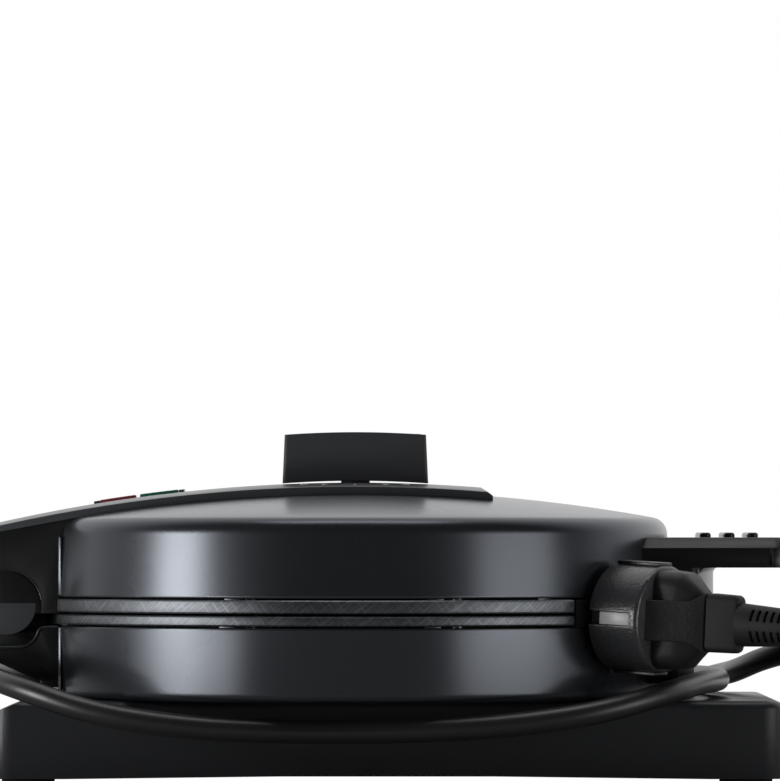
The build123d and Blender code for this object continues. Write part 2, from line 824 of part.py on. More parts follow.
def thermostat_bracket():
    """Bent strip that carries the thermostat over the upper reflector."""
    feet, table, _ = thermostat_levels()
    half, wide = bracket_span / 2, bracket_width / 2
    strip = block((-half, half), (-wide, wide), (table, table + bracket_sheet))
    for side in (-1, 1):
        leg = sorted((side * half, side * (half - bracket_sheet)))
        foot = sorted((side * half, side * (half + bracket_foot)))
        strip += block(leg, (-wide, wide), (feet, table))
        strip += block(foot, (-wide, wide), (feet, feet + bracket_sheet))
    return strip - upright(shaft_radius + hub_clearance, feet, table + 2 * bracket_sheet)


def thermostat():
    _, table, top = thermostat_levels()
    body = upright(thermostat_radius, table + bracket_sheet, top)
    body += upright(hub_radius, top, top + 3)
    return body - upright(shaft_radius + shaft_clearance, table, top + 4)


def thermostat_shaft():
    _, table, _ = thermostat_levels()
    return upright(shaft_radius, table + bracket_sheet + 1, knob_bottom_z + shaft_in_knob - screw_gap)


def handle():
    """Lift handle on the lid with the block under it and three grip ribs."""
    grip = block(
        (chord_x - 5, handle_end), (-handle_half_width, handle_half_width), (handle_underside, handle_top)
    )
    grip = fillet(grip.edges().filter_by(Axis.Z).group_by(Axis.X)[-1], handle_rounding)
    rim = grip.faces().sort_by(Axis.Z)[-1].edges().filter_by(lambda e: e.center().X > chord_x)
    grip = chamfer(rim, handle_chamfer)
    web = block(
        (chord_x - 5, web_radius), (-block_half_width, block_half_width), (upper_face_z, handle_underside)
    ) & upright(web_radius, upper_face_z, handle_underside)
    web = fillet(web.edges().filter_by(Axis.Z).group_by(Axis.X)[-1], web_rounding)
    hollow = [
        (web_radius + web_fillet * (1 - math.cos(a)), handle_underside - web_fillet * (1 - math.sin(a)))
        for a in [math.pi / 8 * step for step in range(5)]
    ]
    cove = turned((web_radius - 1, handle_underside), (web_radius - 1, hollow[0][1]), *hollow)
    reach = block_half_width - web_rounding
    piece = grip + web + (cove & block((chord_x, handle_end), (-reach, reach), (upper_face_z, handle_top)))
    for reach in grip_rib_reaches:
        rib = Pos(body_radius + reach, 0, handle_top) * extrude(
            Rot(0, 0, 90) * SlotOverall(grip_rib_length, grip_rib_width), amount=grip_rib_height
        )
        piece += fillet(rib.faces().sort_by(Axis.Z)[-1].edges(), grip_rib_height / 2)
    return piece - lid_form(0, upper_face_z - 1) - block_screw_holes("lid")


def lower_front_block():
    """Front block of the lower shell, under the block of the handle."""
    piece = block(
        (chord_x - 5, front_block_radius), (-block_half_width, block_half_width),
        (front_block_bottom, lower_face_z - rim_edge),
    ) & upright(front_block_radius, front_block_bottom, lower_face_z)
    piece = fillet(piece.edges().filter_by(Axis.Z).group_by(Axis.X)[-1], web_rounding)
    return piece - lower_form(0, lower_face_z + 1) - block_screw_holes("lower")


def block_screw_set(half):
    return [block_screw_place(*spot) * screw(end_screw_length) for spot in block_screws()[half]]


def body_screw_spots():
    return [(x, y) for x in (-body_screw_x, body_screw_x) for y in (-body_screw_y, body_screw_y)]


def body_screws():
    """Screws from inside the base up into the lower shell."""
    length = base_top_wall + shell_wall + body_boss_height - 1.5
    seat = base_top_z - base_top_wall
    return [Location((x, y, seat), (180, 0, 0)) * screw(length) for x, y in body_screw_spots()]


def foot_spots():
    return [
        (x, y) for x in (base_rear + foot_inset, base_front - foot_inset)
        for y in (-base_half_depth + foot_inset, base_half_depth - foot_inset)
    ]


def cover_fixings():
    """Screws of the base cover, further in than the feet."""
    return [
        (x, y) for x in (base_rear + cover_screw_inset, base_front - cover_screw_inset)
        for y in (-base_half_depth + cover_screw_inset, base_half_depth - cover_screw_inset)
    ]


def base_plan(inset, low, high):
    """Rounded plan of the base, drawn in by a wall."""
    half = base_half_depth - inset
    plan = block((base_rear + inset, base_front - inset), (-half, half), (low, high))
    return fillet(plan.edges().filter_by(Axis.Z), base_corner - inset)


def base_housing():
    """Foot of the appliance, open below, with its rear top edge sloping down."""
    under = base_bottom_z + base_cover_recess + base_cover_sheet
    housing = base_plan(0, base_bottom_z, base_top_z)
    housing = fillet(housing.faces().sort_by(Axis.Z)[-1].edges(), base_edge)
    slope_x = base_rear + base_slope_length
    housing -= side_cut(
        [(slope_x, base_top_z), (base_rear - 1, base_top_z - base_slope_drop),
         (base_rear - 1, base_top_z + 1), (slope_x, base_top_z + 1)],
        2 * base_half_depth,
    )
    inner = base_plan(base_wall, base_bottom_z - 1, base_top_z - base_top_wall)
    inner -= side_cut(
        [(slope_x + base_wall, base_top_z - base_top_wall), (slope_x + base_wall, base_top_z),
         (base_rear - 1, base_top_z), (base_rear - 1, base_top_z - base_slope_drop - base_top_wall)],
        2 * base_half_depth,
    )
    housing -= inner
    for x, y in cover_fixings():
        housing += upright(screw_radius + boss_wall, under, base_top_z - base_top_wall / 2, x, y)
        housing -= upright(screw_radius + screw_gap, under - 1, under + block_screw_length, x, y)
    for x, y in body_screw_spots():
        housing -= upright(screw_radius + screw_gap, base_top_z - base_top_wall - 1, base_top_z + 1, x, y)
    middle = (base_rear + base_front) / 2
    reach = (base_front - base_rear) / 2 - 2 * foot_inset
    arch = Line((middle - reach, 0, base_bottom_z), (middle + reach, 0, base_bottom_z)) + ThreePointArc(
        (middle + reach, 0, base_bottom_z), (middle, 0, base_bottom_z + base_arch),
        (middle - reach, 0, base_bottom_z),
    )
    return housing - extrude(make_face(arch), amount=2 * base_half_depth, dir=(0, 1, 0), both=True)


def base_cover():
    """Bottom plate inside the housing's walls."""
    low = base_bottom_z + base_cover_recess
    plate = base_plan(base_wall + base_cover_gap, low, low + base_cover_sheet)
    for x, y in cover_fixings():
        plate -= upright(screw_radius + screw_gap, low - 1, low + base_cover_sheet + 1, x, y)
    for x, y in foot_spots():
        plate -= upright(foot_stem_radius + screw_gap, low - 1, low + base_cover_sheet + 1, x, y)
    return plate


def base_cover_screws():
    low = base_bottom_z + base_cover_recess
    return [
        Location((x, y, low), (180, 0, 0)) * screw(base_cover_sheet + block_screw_length - 1.5)
        for x, y in cover_fixings()
    ]


def rubber_feet():
    """Four feet pushed into the base cover."""
    low = base_bottom_z + base_cover_recess
    feet = []
    for x, y in foot_spots():
        foot = upright(foot_radius, 0, low, x, y)
        foot = chamfer(foot.edges().group_by(Axis.Z)[0], 0.8)
        feet.append(foot + upright(foot_stem_radius, low, low + base_cover_sheet + foot_stem_length, x, y))
    return feet


def terminal_block():
    """Ceramic terminal block on the floor of the lower shell."""
    floor = base_top_z + shell_wall
    length, width, height = terminal_size
    x, y = terminal_corner
    piece = block((x, x + length), (y, y + width), (floor, floor + height))
    for side in (0.25, 0.75):
        middle = (x + length / 2, y + side * width, floor + height / 2)
        piece -= Location(Plane(origin=middle, z_dir=(1, 0, 0))) * Cylinder(terminal_bore, 2 * length)
    return piece


def thermal_fuse():
    """Thermal fuse lying on the floor of the lower shell beside the terminals."""
    middle = (*fuse_place, base_top_z + shell_wall + fuse_radius)
    return Location(Plane(origin=middle, z_dir=(0, 1, 0))) * Cylinder(fuse_radius, fuse_length)


def parking_frame():
    """Frame of the parked plug: X level along the wall, Y up, Z out of the wall and a little down."""
    reach = body_radius + plug_standoff
    across = polar(1, parking_angle)
    lean = math.radians(plug_tilt)
    out = (across[0] * math.cos(lean), across[1] * math.cos(lean), -math.sin(lean))
    foot = (across[0] * reach, across[1] * reach, plug_z)
    return Location(Plane(origin=foot, x_dir=(-across[1], across[0], 0), z_dir=out))


def pin_spots():
    """Places of the two plug pins in the plug's frame."""
    return [parking_frame() * Pos(side * plug_pin_spacing / 2, 0, 0) for side in (-1, 1)]


def plug_parking_block():
    """Block between the plates' rims whose two holes take the plug's pins."""
    outer = body_radius + parking_face
    ring = upright(outer, lower_edge_z, lid_edge_z - 2 * seat_gap)
    stem = upright(shoulder_radius - shell_wall - seat_gap, lower_edge_z - parking_stem_depth, lower_edge_z)
    stem -= upright(shoulder_radius - shell_wall - parking_stem_wall, 0, lower_edge_z)
    piece = parking_room(0) & (ring + stem)
    reach = block_half_width + block_side_gap
    piece -= block((0, handle_end), (-reach, reach), (base_top_z, dome_top_z))
    for spot in pin_spots():
        piece -= spot * Cylinder(plug_pin_radius + pin_hole_clearance, 4 * plug_pin_length)
    return piece.solids().sort_by(SortBy.VOLUME)[-1]


def plug_body():
    """Moulded two-pin plug with side notches, a recessed grip and a squared tail."""
    disc = chamfer(upright(plug_disc_radius, 0, plug_disc_length).edges().group_by(Axis.Z)[0], 0.6)
    disc = fillet(disc.edges().group_by(Axis.Z)[-1], 1.5)
    shoulder = plug_disc_length + grip_shoulder_length
    waist = RectangleRounded(*grip_waist, 3.0)
    levels = [
        Pos(0, 0, plug_disc_length - 1) * RectangleRounded(*grip_root, 8.0),
        Pos(0, 0, shoulder) * RectangleRounded(*grip_shoulder, 7.0),
        Pos(0, 0, plug_tail_start) * waist,
    ]
    grip = loft(levels[:2]) + loft(levels[1:])
    for side in (-1, 1):
        x = sorted((side * grip_recess_side, side * plug_disc_radius))
        half = grip_recess_height / 2
        grip -= block(x, (-half, half), (plug_disc_length - 2, plug_tail_start + 1))
    tail = extrude(Pos(0, 0, plug_tail_start) * waist, amount=plug_tail_length)
    body = disc + grip + tail
    for side in (-1, 1):
        x = sorted((side * (plug_disc_radius - plug_notch_depth), side * (plug_disc_radius + 1)))
        half = plug_notch_width / 2
        body -= block(x, (-half, half), (-1, plug_notch_length))
        inner = plug_disc_radius + clip_proud - clip_sheet
        y = sorted((side * inner, side * (inner + 2)))
        half = clip_width / 2 + screw_gap
        body -= block((-half, half), y, (-1, clip_end + 1))
        body -= Pos(side * plug_pin_spacing / 2, 0, 0) * upright(plug_pin_radius, -1, 5)
    return parking_frame() * body


def plug_insert():
    """White insert seen in the two side notches of the plug."""
    pieces = []
    start = plug_disc_radius - plug_notch_depth
    for side in (-1, 1):
        x = sorted((side * start, side * (start + plug_insert_proud)))
        half = plug_insert_height / 2
        pieces.append(block(x, (-half, half), (plug_insert_start, plug_insert_start + plug_insert_length)))
    return [parking_frame() * piece for piece in pieces]


def plug_pins():
    return [spot * upright(plug_pin_radius, -plug_pin_length, 5) for spot in pin_spots()]


def plug_earth_clips():
    """Sprung earth strips on the top and the bottom of the plug."""
    clips = []
    inner = plug_disc_radius + clip_proud - clip_sheet
    for side in (-1, 1):
        y = sorted((side * inner, side * (inner + clip_sheet)))
        clips.append(parking_frame() * block((-clip_width / 2, clip_width / 2), y, (clip_start, clip_end)))
    return clips


def plug_strain_relief():
    """Tapered sleeve behind the plug with two rows of slots on each side."""
    sleeve = turned(
        (0, plug_tail_end), (relief_root_radius, plug_tail_end), (relief_end_radius, relief_end),
        (0, relief_end),
    )
    for slot in range(relief_slot_count):
        low = plug_tail_end + relief_slot_start + slot * relief_slot_pitch
        high = low + relief_slot_width
        taper = (relief_root_radius - relief_end_radius) * (low - plug_tail_end) / relief_length
        radius = relief_root_radius - taper
        ring = upright(radius + 1, low, high) - upright(radius - relief_slot_depth, low - 1, high + 1)
        for side in (-1, 1):
            height = sorted(side * share * radius for share in relief_slot_spread)
            sleeve -= ring & block((-20, 20), height, (low, high))
    sleeve -= upright(cord_diameter / 2 + cord_clearance, relief_end - cord_seat, relief_end + 1)
    return parking_frame() * sleeve


def heading():
    """Direction in which the cord leaves its outlet."""
    return math.cos(math.radians(outlet_heading)), math.sin(math.radians(outlet_heading))


def cord_bore():
    """Hole in the lower shell behind the cord outlet."""
    angle = sum(outlet_back_angles) / 2 - 4
    place = Plane(origin=(0, 0, outlet_z), z_dir=(*polar(1, angle), 0))
    return Location(place) * upright(cord_diameter / 2 + screw_gap, body_radius / 2, body_radius + 1)


def cord_outlet():
    """Fairing on the lower shell with a tapered sleeve for the cord."""
    hx, hy = heading()
    ox, oy = outlet_point
    low, high = outlet_z - outlet_height / 2, outlet_z + outlet_height / 2
    side = outlet_half_width
    plan = [
        (ox - hy * side, oy + hx * side), (ox + hy * side, oy - hx * side),
        polar(body_radius - 8, 128), polar(body_radius - 8, outlet_back_angles[0]),
        polar(body_radius + outlet_back_reach, outlet_back_angles[1]),
    ]
    fairing = plan_cut(plan, low, high) - lower_form(0, lower_edge_z + 1)
    frame = Location(along((ox, oy, outlet_z), (hx, hy, 0)))
    sleeve = frame * turned(
        (0, -0.5), (outlet_sleeve_radius, -0.5), (relief_end_radius, outlet_sleeve_length),
        (0, outlet_sleeve_length),
    )
    piece = fairing + sleeve
    seat = outlet_sleeve_length - cord_seat
    return piece - frame * upright(cord_diameter / 2 + cord_clearance, seat, outlet_sleeve_length + 1)


def mains_cord():
    """Round cable from the outlet's sleeve to the plug's sleeve, on straight runs joined by wide arcs."""
    hx, hy = heading()
    seat = outlet_sleeve_length - cord_seat
    start = (outlet_point[0] + hx * seat, outlet_point[1] + hy * seat, outlet_z)
    end = (parking_frame() * Pos(0, 0, relief_end - cord_seat)).position
    points = [Vector(*start), *[Vector(*p) for p in cord_route], end]
    radii = []
    for before, here, after in zip(points, points[1:], points[2:]):
        run = min((here - before).length, (after - here).length)
        turn = math.radians((here - before).get_angle(after - here))
        radii.append(0.45 * run / math.tan(turn / 2))
    print("cord arc radii", [round(r) for r in radii])
    path = FilletPolyline(*points, radius=radii)
    tube = sweep(along(path @ 0, path % 0) * Circle(cord_diameter / 2), path=path)
    section = math.pi * (cord_diameter / 2) ** 2
    ratio = tube.volume / (section * path.length)
    print("cord length", round(path.length, 1), "volume ratio", round(ratio, 4))
    return tube


parts = {
    "base_housing": base_housing(),
    "base_cover": base_cover(),
    "base_cover_screws": base_cover_screws(),
    "rubber_feet": rubber_feet(),
    "body_screws": body_screws(),
    "lower_shell": lower_shell(),
    "lower_hinge_block": lower_hinge_block(),
    "lower_front_block": lower_front_block(),
    "lower_block_screws": block_screw_set("lower"),
    "hinge_pin": hinge_pin(),
    "hinge_washers": hinge_washers(),
    "lower_waffle_plate": waffle_plate(lower_place(), 0),
    "lower_plate_screws": plate_screws(lower_place()),
    "lower_heating_element": heating_element(lower_place()),
    "lower_heat_reflector": heat_reflector(lower_place()),
    "terminal_block": terminal_block(),
    "thermal_fuse": thermal_fuse(),
    "plug_parking_block": plug_parking_block(),
    "cord_outlet": cord_outlet(),
    "mains_cord": mains_cord(),
    "plug_body": plug_body(),
    "plug_insert": plug_insert(),
    "plug_pins": plug_pins(),
    "plug_earth_clips": plug_earth_clips(),
    "plug_strain_relief": plug_strain_relief(),
    "lid_shell": lid_shell(),
    "hinge_arm": hinge_arm(),
    "control_cover": control_cover(),
    "control_cover_screws": [
        cover_screw_place(x, y) * screw(shell_wall + cover_thickness / 2) for x, y in cover_screw_spots()
    ],
    "handle": handle(),
    "lid_block_screws": block_screw_set("lid"),
    "upper_waffle_plate": waffle_plate(upper_place(), upper_rim_height - lower_rim_height),
    "upper_plate_screws": plate_screws(upper_place()),
    "upper_heating_element": heating_element(upper_place()),
    "upper_heat_reflector": heat_reflector(upper_place()),
    "thermostat": thermostat(),
    "thermostat_bracket": thermostat_bracket(),
    "lamp_bezel": lamp_bezel(),
    "red_lens": lens(lamp_span()[0]),
    "green_lens": lens(lamp_span()[1]),
    "lamp_holder": lamp_holder(),
    "indicator_lamps": indicator_lamps(),
    "temperature_knob": temperature_knob(),
    "thermostat_shaft": thermostat_shaft(),
}

os.makedirs("parts", exist_ok=True)
for name, shape in parts.items():
    solids = shape if isinstance(shape, list) else [shape]
    whole = Compound([solid for piece in solids for solid in piece.solids()])
    export_step(Pos(-origin_x, 0, 0) * whole, f"parts/{name}.step")
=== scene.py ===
import bpy
import json
import math
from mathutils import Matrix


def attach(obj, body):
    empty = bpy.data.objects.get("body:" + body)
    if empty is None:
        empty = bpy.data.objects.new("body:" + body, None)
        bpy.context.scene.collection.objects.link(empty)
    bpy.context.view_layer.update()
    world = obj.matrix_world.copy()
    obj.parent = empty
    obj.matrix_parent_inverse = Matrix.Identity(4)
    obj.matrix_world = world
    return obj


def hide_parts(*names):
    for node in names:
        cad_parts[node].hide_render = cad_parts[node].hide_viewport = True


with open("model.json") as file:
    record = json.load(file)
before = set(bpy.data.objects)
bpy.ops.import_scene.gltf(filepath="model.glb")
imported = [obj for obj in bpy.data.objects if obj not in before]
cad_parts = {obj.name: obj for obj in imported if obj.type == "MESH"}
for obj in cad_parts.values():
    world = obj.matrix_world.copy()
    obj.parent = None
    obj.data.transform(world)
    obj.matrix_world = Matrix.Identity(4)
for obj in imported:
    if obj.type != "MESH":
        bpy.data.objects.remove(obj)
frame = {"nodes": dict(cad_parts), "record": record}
nodes = frame["nodes"]
rows = {row["node"]: row for row in frame["record"]["subparts"]}
bodyOf = {name: body for body, members in frame["record"]["behaviour"]["bodies"].items() for name in members}
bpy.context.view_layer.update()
mm = 0.001
bodyX = -10.75    # the round body's axis, in millimetres from the part's origin


def report(stage):
    print("waffle maker:", stage)


def place(x, y, z):    # millimetres about the round body's axis to metres in the part's frame
    return ((x + bodyX) * mm, y * mm, z * mm)


def deselectAll():
    if bpy.context.object and bpy.context.object.mode != "OBJECT":
        bpy.ops.object.mode_set(mode="OBJECT")
    bpy.ops.object.select_all(action="DESELECT")


def pick(piece):
    deselectAll()
    piece.select_set(True)
    bpy.context.view_layer.objects.active = piece


# Camera, where the photograph was taken from
cameraView = {
    "away": 2600.0, "height": 86.3, "side": 12.0, "tilt": 1.067, "lens": 345.0, "sensor": 36,
    "sees": (0.1, 60),
}

deselectAll()
bpy.ops.object.camera_add(
    location=place(cameraView["side"], -cameraView["away"], cameraView["height"]),
    rotation=(math.radians(90 + cameraView["tilt"]), 0, 0),
)
camera = bpy.context.object
camera.name = "photoCamera"
camera.data.lens = cameraView["lens"]
camera.data.sensor_width = cameraView["sensor"]
camera.data.clip_start, camera.data.clip_end = cameraView["sees"]
bpy.context.scene.camera = camera
report("camera in place")

# Mains cord, from its outlet on the far side round the body to the parked plug
mainsCord = {
    "diameter": 8.0, "length": 1.33, "alongSteps": 10, "roundSteps": 7,
    "route": [
        (-47.3, 105.2, 38.5), (-16.7, 117.6, 38.5), (22.0, 122.0, 31.5), (57.0, 113.5, 25.5),
        (90.0, 97.0, 28.8), (112.0, 71.0, 34.6), (122.5, 37.0, 34.6), (126.0, 2.0, 34.7),
        (124.5, -30.0, 34.8), (117.5, -59.0, 34.6), (105.0, -84.0, 31.4), (82.0, -97.5, 25.0),
        (50.0, -101.0, 20.6), (12.0, -101.0, 18.8), (-24.0, -100.5, 18.8), (-56.0, -98.5, 20.2),
        (-87.0, -97.0, 24.8), (-111.0, -87.0, 32.6), (-127.0, -64.0, 37.8), (-135.0, -34.0, 39.0),
        (-136.0, 4.0, 38.6), (-131.0, 42.0, 37.0), (-116.0, 75.0, 34.4), (-89.0, 97.0, 26.5),
        (-54.0, 106.0, 20.5), (-14.0, 113.0, 18.5), (24.0, 121.0, 18.2), (60.0, 125.5, 18.8),
        (94.0, 116.0, 23.0), (118.0, 93.0, 31.2), (131.0, 66.0, 35.2), (134.0, 40.0, 36.8),
        (143.0, 12.0, 42.0), (160.0, -10.0, 46.5), (188.5, -24.0, 44.0), (218.0, -35.5, 40.5),
        (234.4, -58.8, 39.0), (235.2, -87.5, 40.0), (220.6, -112.2, 43.5), (195.1, -125.5, 48.0),
        (166.5, -123.2, 52.2), (144.2, -106.7, 53.6),
    ],
}


def layCord():
    line = bpy.data.curves.new("mainsCordLine", "CURVE")
    line.dimensions = "3D"
    spline = line.splines.new("NURBS")
    spline.points.add(len(mainsCord["route"]) - 1)
    for point, spot in zip(spline.points, mainsCord["route"]):
        point.co = (*place(*spot), 1)
        point.radius = mainsCord["diameter"] / 2 * mm    # the bevel is 1 m deep, so this is the radius
    spline.order_u = 3
    spline.use_endpoint_u = True
    line.resolution_u = mainsCord["alongSteps"]
    line.bevel_depth = 1
    line.bevel_resolution = mainsCord["roundSteps"]
    line.use_fill_caps = True
    cord = bpy.data.objects.new("rubberCord", line)
    bpy.context.collection.objects.link(cord)
    return cord


rubberCord = layCord()
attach(rubberCord, "base")
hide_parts("mains_cord")
report("cord laid")

# Studio: white backdrop behind, darkness on the camera's side, soft strips left and right
studio = {
    "backdrop": 1.0, "cameraSide": 0.022, "darkTo": -0.05, "lightFrom": 0.55,
    "floorSize": 30, "floorDrop": 0.0002, "floorColour": 0.3, "floorDarkTo": 0.1, "floorLightFrom": 0.6,
    "aim": (0, 0, 0.06), "glowHeight": 0.001,
    "strips": [
        {"name": "leftStrip", "angle": -63, "away": 0.8, "height": 0.11, "size": (0.24, 0.26), "power": 1.75},
        {"name": "rightStrip", "angle": 57, "away": 0.8, "height": 0.11, "size": (0.42, 0.26), "power": 0.62},
    ],
    "overhead": {"spot": (0, -0.1, 1.2), "size": (0.75, 0.4), "power": 1.7},
    "tableGlow": [
        {"name": "leftGlow", "angle": -63, "away": 0.62, "size": (0.19, 0.5), "power": 3.3},
        {"name": "rightGlow", "angle": 57, "away": 0.62, "size": (0.34, 0.5), "power": 2.2},
    ],
}


def faceAlong(piece, direction):    # turns the piece's own Z axis along a direction
    line = piece.location.copy()
    line[:] = direction
    piece.rotation_mode = "QUATERNION"
    piece.rotation_quaternion = line.to_track_quat("Z", "Y")


def addLamp(name, spot, size, power):
    deselectAll()
    bpy.ops.object.light_add(type="AREA", location=spot)
    lamp = bpy.context.object
    lamp.name = name
    lamp.data.shape = "RECTANGLE"
    lamp.data.size, lamp.data.size_y = size
    lamp.data.energy = power
    return lamp


def aimLamp(lamp):
    faceAlong(lamp, [here - there for here, there in zip(lamp.location, studio["aim"])])


def aroundSpot(row, height):
    turn = math.radians(row["angle"])
    return (math.sin(turn) * row["away"], -math.cos(turn) * row["away"], height)


def lightStudio():
    for strip in studio["strips"]:
        aimLamp(addLamp(strip["name"], aroundSpot(strip, strip["height"]), strip["size"], strip["power"]))
    for glow in studio["tableGlow"]:    # the bright table top under each strip, shining upward
        lamp = addLamp(glow["name"], aroundSpot(glow, studio["glowHeight"]), glow["size"], glow["power"])
        lamp.rotation_euler = (math.pi, 0, -math.radians(glow["angle"]))
    top = studio["overhead"]
    aimLamp(addLamp("overheadBox", top["spot"], top["size"], top["power"]))


def paintWorld():
    world = bpy.data.worlds.new("studioWorld")
    bpy.context.scene.world = world
    world.use_nodes = True
    tree = world.node_tree
    background = tree.nodes["Background"]
    coords = tree.nodes.new("ShaderNodeTexCoord")
    split = tree.nodes.new("ShaderNodeSeparateXYZ")
    fade = tree.nodes.new("ShaderNodeMapRange")
    fade.inputs["From Min"].default_value = studio["darkTo"]
    fade.inputs["From Max"].default_value = studio["lightFrom"]
    fade.inputs["To Min"].default_value = studio["cameraSide"]
    fade.inputs["To Max"].default_value = studio["backdrop"]
    path = tree.nodes.new("ShaderNodeLightPath")
    seen = tree.nodes.new("ShaderNodeMath")
    seen.operation = "MAXIMUM"
    tree.links.new(coords.outputs["Generated"], split.inputs[0])
    tree.links.new(split.outputs["Y"], fade.inputs["Value"])
    tree.links.new(fade.outputs[0], seen.inputs[0])
    tree.links.new(path.outputs["Is Camera Ray"], seen.inputs[1])
    tree.links.new(seen.outputs[0], background.inputs["Color"])
    background.inputs["Strength"].default_value = 1.0


def layFloor():
    deselectAll()
    bpy.ops.mesh.primitive_plane_add(size=studio["floorSize"], location=(0, 0, -studio["floorDrop"]))
    floor = bpy.context.object
    floor.name = "paleFloor"
    skin = bpy.data.materials.new("paleFloorPaint")
    skin.use_nodes = True
    tree = skin.node_tree
    tree.nodes.clear()
    out = tree.nodes.new("ShaderNodeOutputMaterial")
    glow = tree.nodes.new("ShaderNodeEmission")
    matt = tree.nodes.new("ShaderNodeBsdfDiffuse")
    matt.inputs["Color"].default_value = (*[studio["floorColour"]] * 3, 1)
    mixer = tree.nodes.new("ShaderNodeMixShader")
    path = tree.nodes.new("ShaderNodeLightPath")
    coords = tree.nodes.new("ShaderNodeTexCoord")
    split = tree.nodes.new("ShaderNodeSeparateXYZ")
    behind = tree.nodes.new("ShaderNodeMapRange")
    behind.inputs["From Min"].default_value = studio["floorDarkTo"]
    behind.inputs["From Max"].default_value = studio["floorLightFrom"]
    mirrored = tree.nodes.new("ShaderNodeMath")
    mirrored.operation = "MULTIPLY"
    seen = tree.nodes.new("ShaderNodeMath")
    seen.operation = "MAXIMUM"
    either = tree.nodes.new("ShaderNodeMath")
    either.operation = "MAXIMUM"
    tree.links.new(coords.outputs["Object"], split.inputs[0])
    tree.links.new(split.outputs["Y"], behind.inputs["Value"])
    tree.links.new(behind.outputs[0], mirrored.inputs[0])
    tree.links.new(path.outputs["Is Glossy Ray"], mirrored.inputs[1])
    tree.links.new(path.outputs["Is Camera Ray"], seen.inputs[0])
    tree.links.new(path.outputs["Is Transmission Ray"], seen.inputs[1])
    tree.links.new(seen.outputs[0], either.inputs[0])
    tree.links.new(mirrored.outputs[0], either.inputs[1])
    tree.links.new(either.outputs[0], mixer.inputs["Fac"])
    tree.links.new(matt.outputs[0], mixer.inputs[1])
    tree.links.new(glow.outputs[0], mixer.inputs[2])
    tree.links.new(mixer.outputs[0], out.inputs["Surface"])
    floor.data.materials.append(skin)


lightStudio()
paintWorld()
layFloor()
bpy.context.scene.view_settings.view_transform = "Standard"
report("studio lit")

# Finishes
commonLook = {
    "metal": 0.0, "specular": 0.5, "coat": 0.0, "coatRough": 0.1,
    "grainDetail": 4.0, "broad": 18.0, "broadDetail": 3.0, "broadShare": 0.7,
}
scratching = {
    "radius": 0.109, "stretch": (9.0, 0.35, 1), "detail": 5.0, "first": (38, 700.0), "second": (-52, 430.0),
    "secondShare": 0.92, "seen": (0.5, 0.72), "ground": 0.8,
}


def newFinish(name, look):
    skin = bpy.data.materials.new(name)
    skin.use_nodes = True
    shader = skin.node_tree.nodes["Principled BSDF"]
    shader.inputs["Metallic"].default_value = look["metal"]
    shader.inputs["Specular IOR Level"].default_value = look["specular"]
    shader.inputs["Coat Weight"].default_value = look["coat"]
    shader.inputs["Coat Roughness"].default_value = look["coatRough"]
    return skin, skin.node_tree, shader


def objectNoise(tree, scale, detail):
    coords = tree.nodes.new("ShaderNodeTexCoord")
    noise = tree.nodes.new("ShaderNodeTexNoise")
    noise.inputs["Scale"].default_value = scale
    noise.inputs["Detail"].default_value = detail
    tree.links.new(coords.outputs["Object"], noise.inputs["Vector"])
    return noise.outputs["Fac"]


def spread(tree, source, low, high, fromLow=0.3, fromHigh=0.7):
    between = tree.nodes.new("ShaderNodeMapRange")
    between.inputs["From Min"].default_value = fromLow
    between.inputs["From Max"].default_value = fromHigh
    between.inputs["To Min"].default_value = low
    between.inputs["To Max"].default_value = high
    tree.links.new(source, between.inputs["Value"])
    return between.outputs[0]


def blendColours(tree, factor, first, second):
    mixer = tree.nodes.new("ShaderNodeMix")
    mixer.data_type = "RGBA"
    mixer.inputs["A"].default_value = (*first, 1)
    mixer.inputs["B"].default_value = (*second, 1)
    tree.links.new(factor, mixer.inputs["Factor"])
    return mixer.outputs["Result"]


def emboss(tree, shader, height, strength, depth):
    bump = tree.nodes.new("ShaderNodeBump")
    bump.inputs["Strength"].default_value = strength
    bump.inputs["Distance"].default_value = depth
    tree.links.new(height, bump.inputs["Height"])
    tree.links.new(bump.outputs[0], shader.inputs["Normal"])


def arithmetic(tree, kind, first, second):
    step = tree.nodes.new("ShaderNodeMath")
    step.operation = kind
    for socket, value in zip(step.inputs, (first, second)):
        if isinstance(value, (int, float)):
            socket.default_value = value
        else:
            tree.links.new(value, socket)
    return step.outputs[0]


def scratchLines(tree, lean, finest):    # slanting lines, laid out by the way round the body and the height
    coords = tree.nodes.new("ShaderNodeTexCoord")
    split = tree.nodes.new("ShaderNodeSeparateXYZ")
    tree.links.new(coords.outputs["Object"], split.inputs[0])
    across = arithmetic(tree, "SUBTRACT", split.outputs["X"], bodyX * mm)
    turn = arithmetic(tree, "ARCTAN2", split.outputs["Y"], across)
    wayRound = arithmetic(tree, "MULTIPLY", turn, scratching["radius"])
    flat = tree.nodes.new("ShaderNodeCombineXYZ")
    tree.links.new(wayRound, flat.inputs["X"])
    tree.links.new(split.outputs["Z"], flat.inputs["Y"])
    mapping = tree.nodes.new("ShaderNodeMapping")
    mapping.vector_type = "TEXTURE"
    mapping.inputs["Rotation"].default_value = (0, 0, math.radians(lean))
    mapping.inputs["Scale"].default_value = scratching["stretch"]
    tree.links.new(flat.outputs[0], mapping.inputs["Vector"])
    noise = tree.nodes.new("ShaderNodeTexNoise")
    noise.inputs["Scale"].default_value = finest
    noise.inputs["Detail"].default_value = scratching["detail"]
    tree.links.new(mapping.outputs[0], noise.inputs["Vector"])
    return noise.outputs["Fac"]


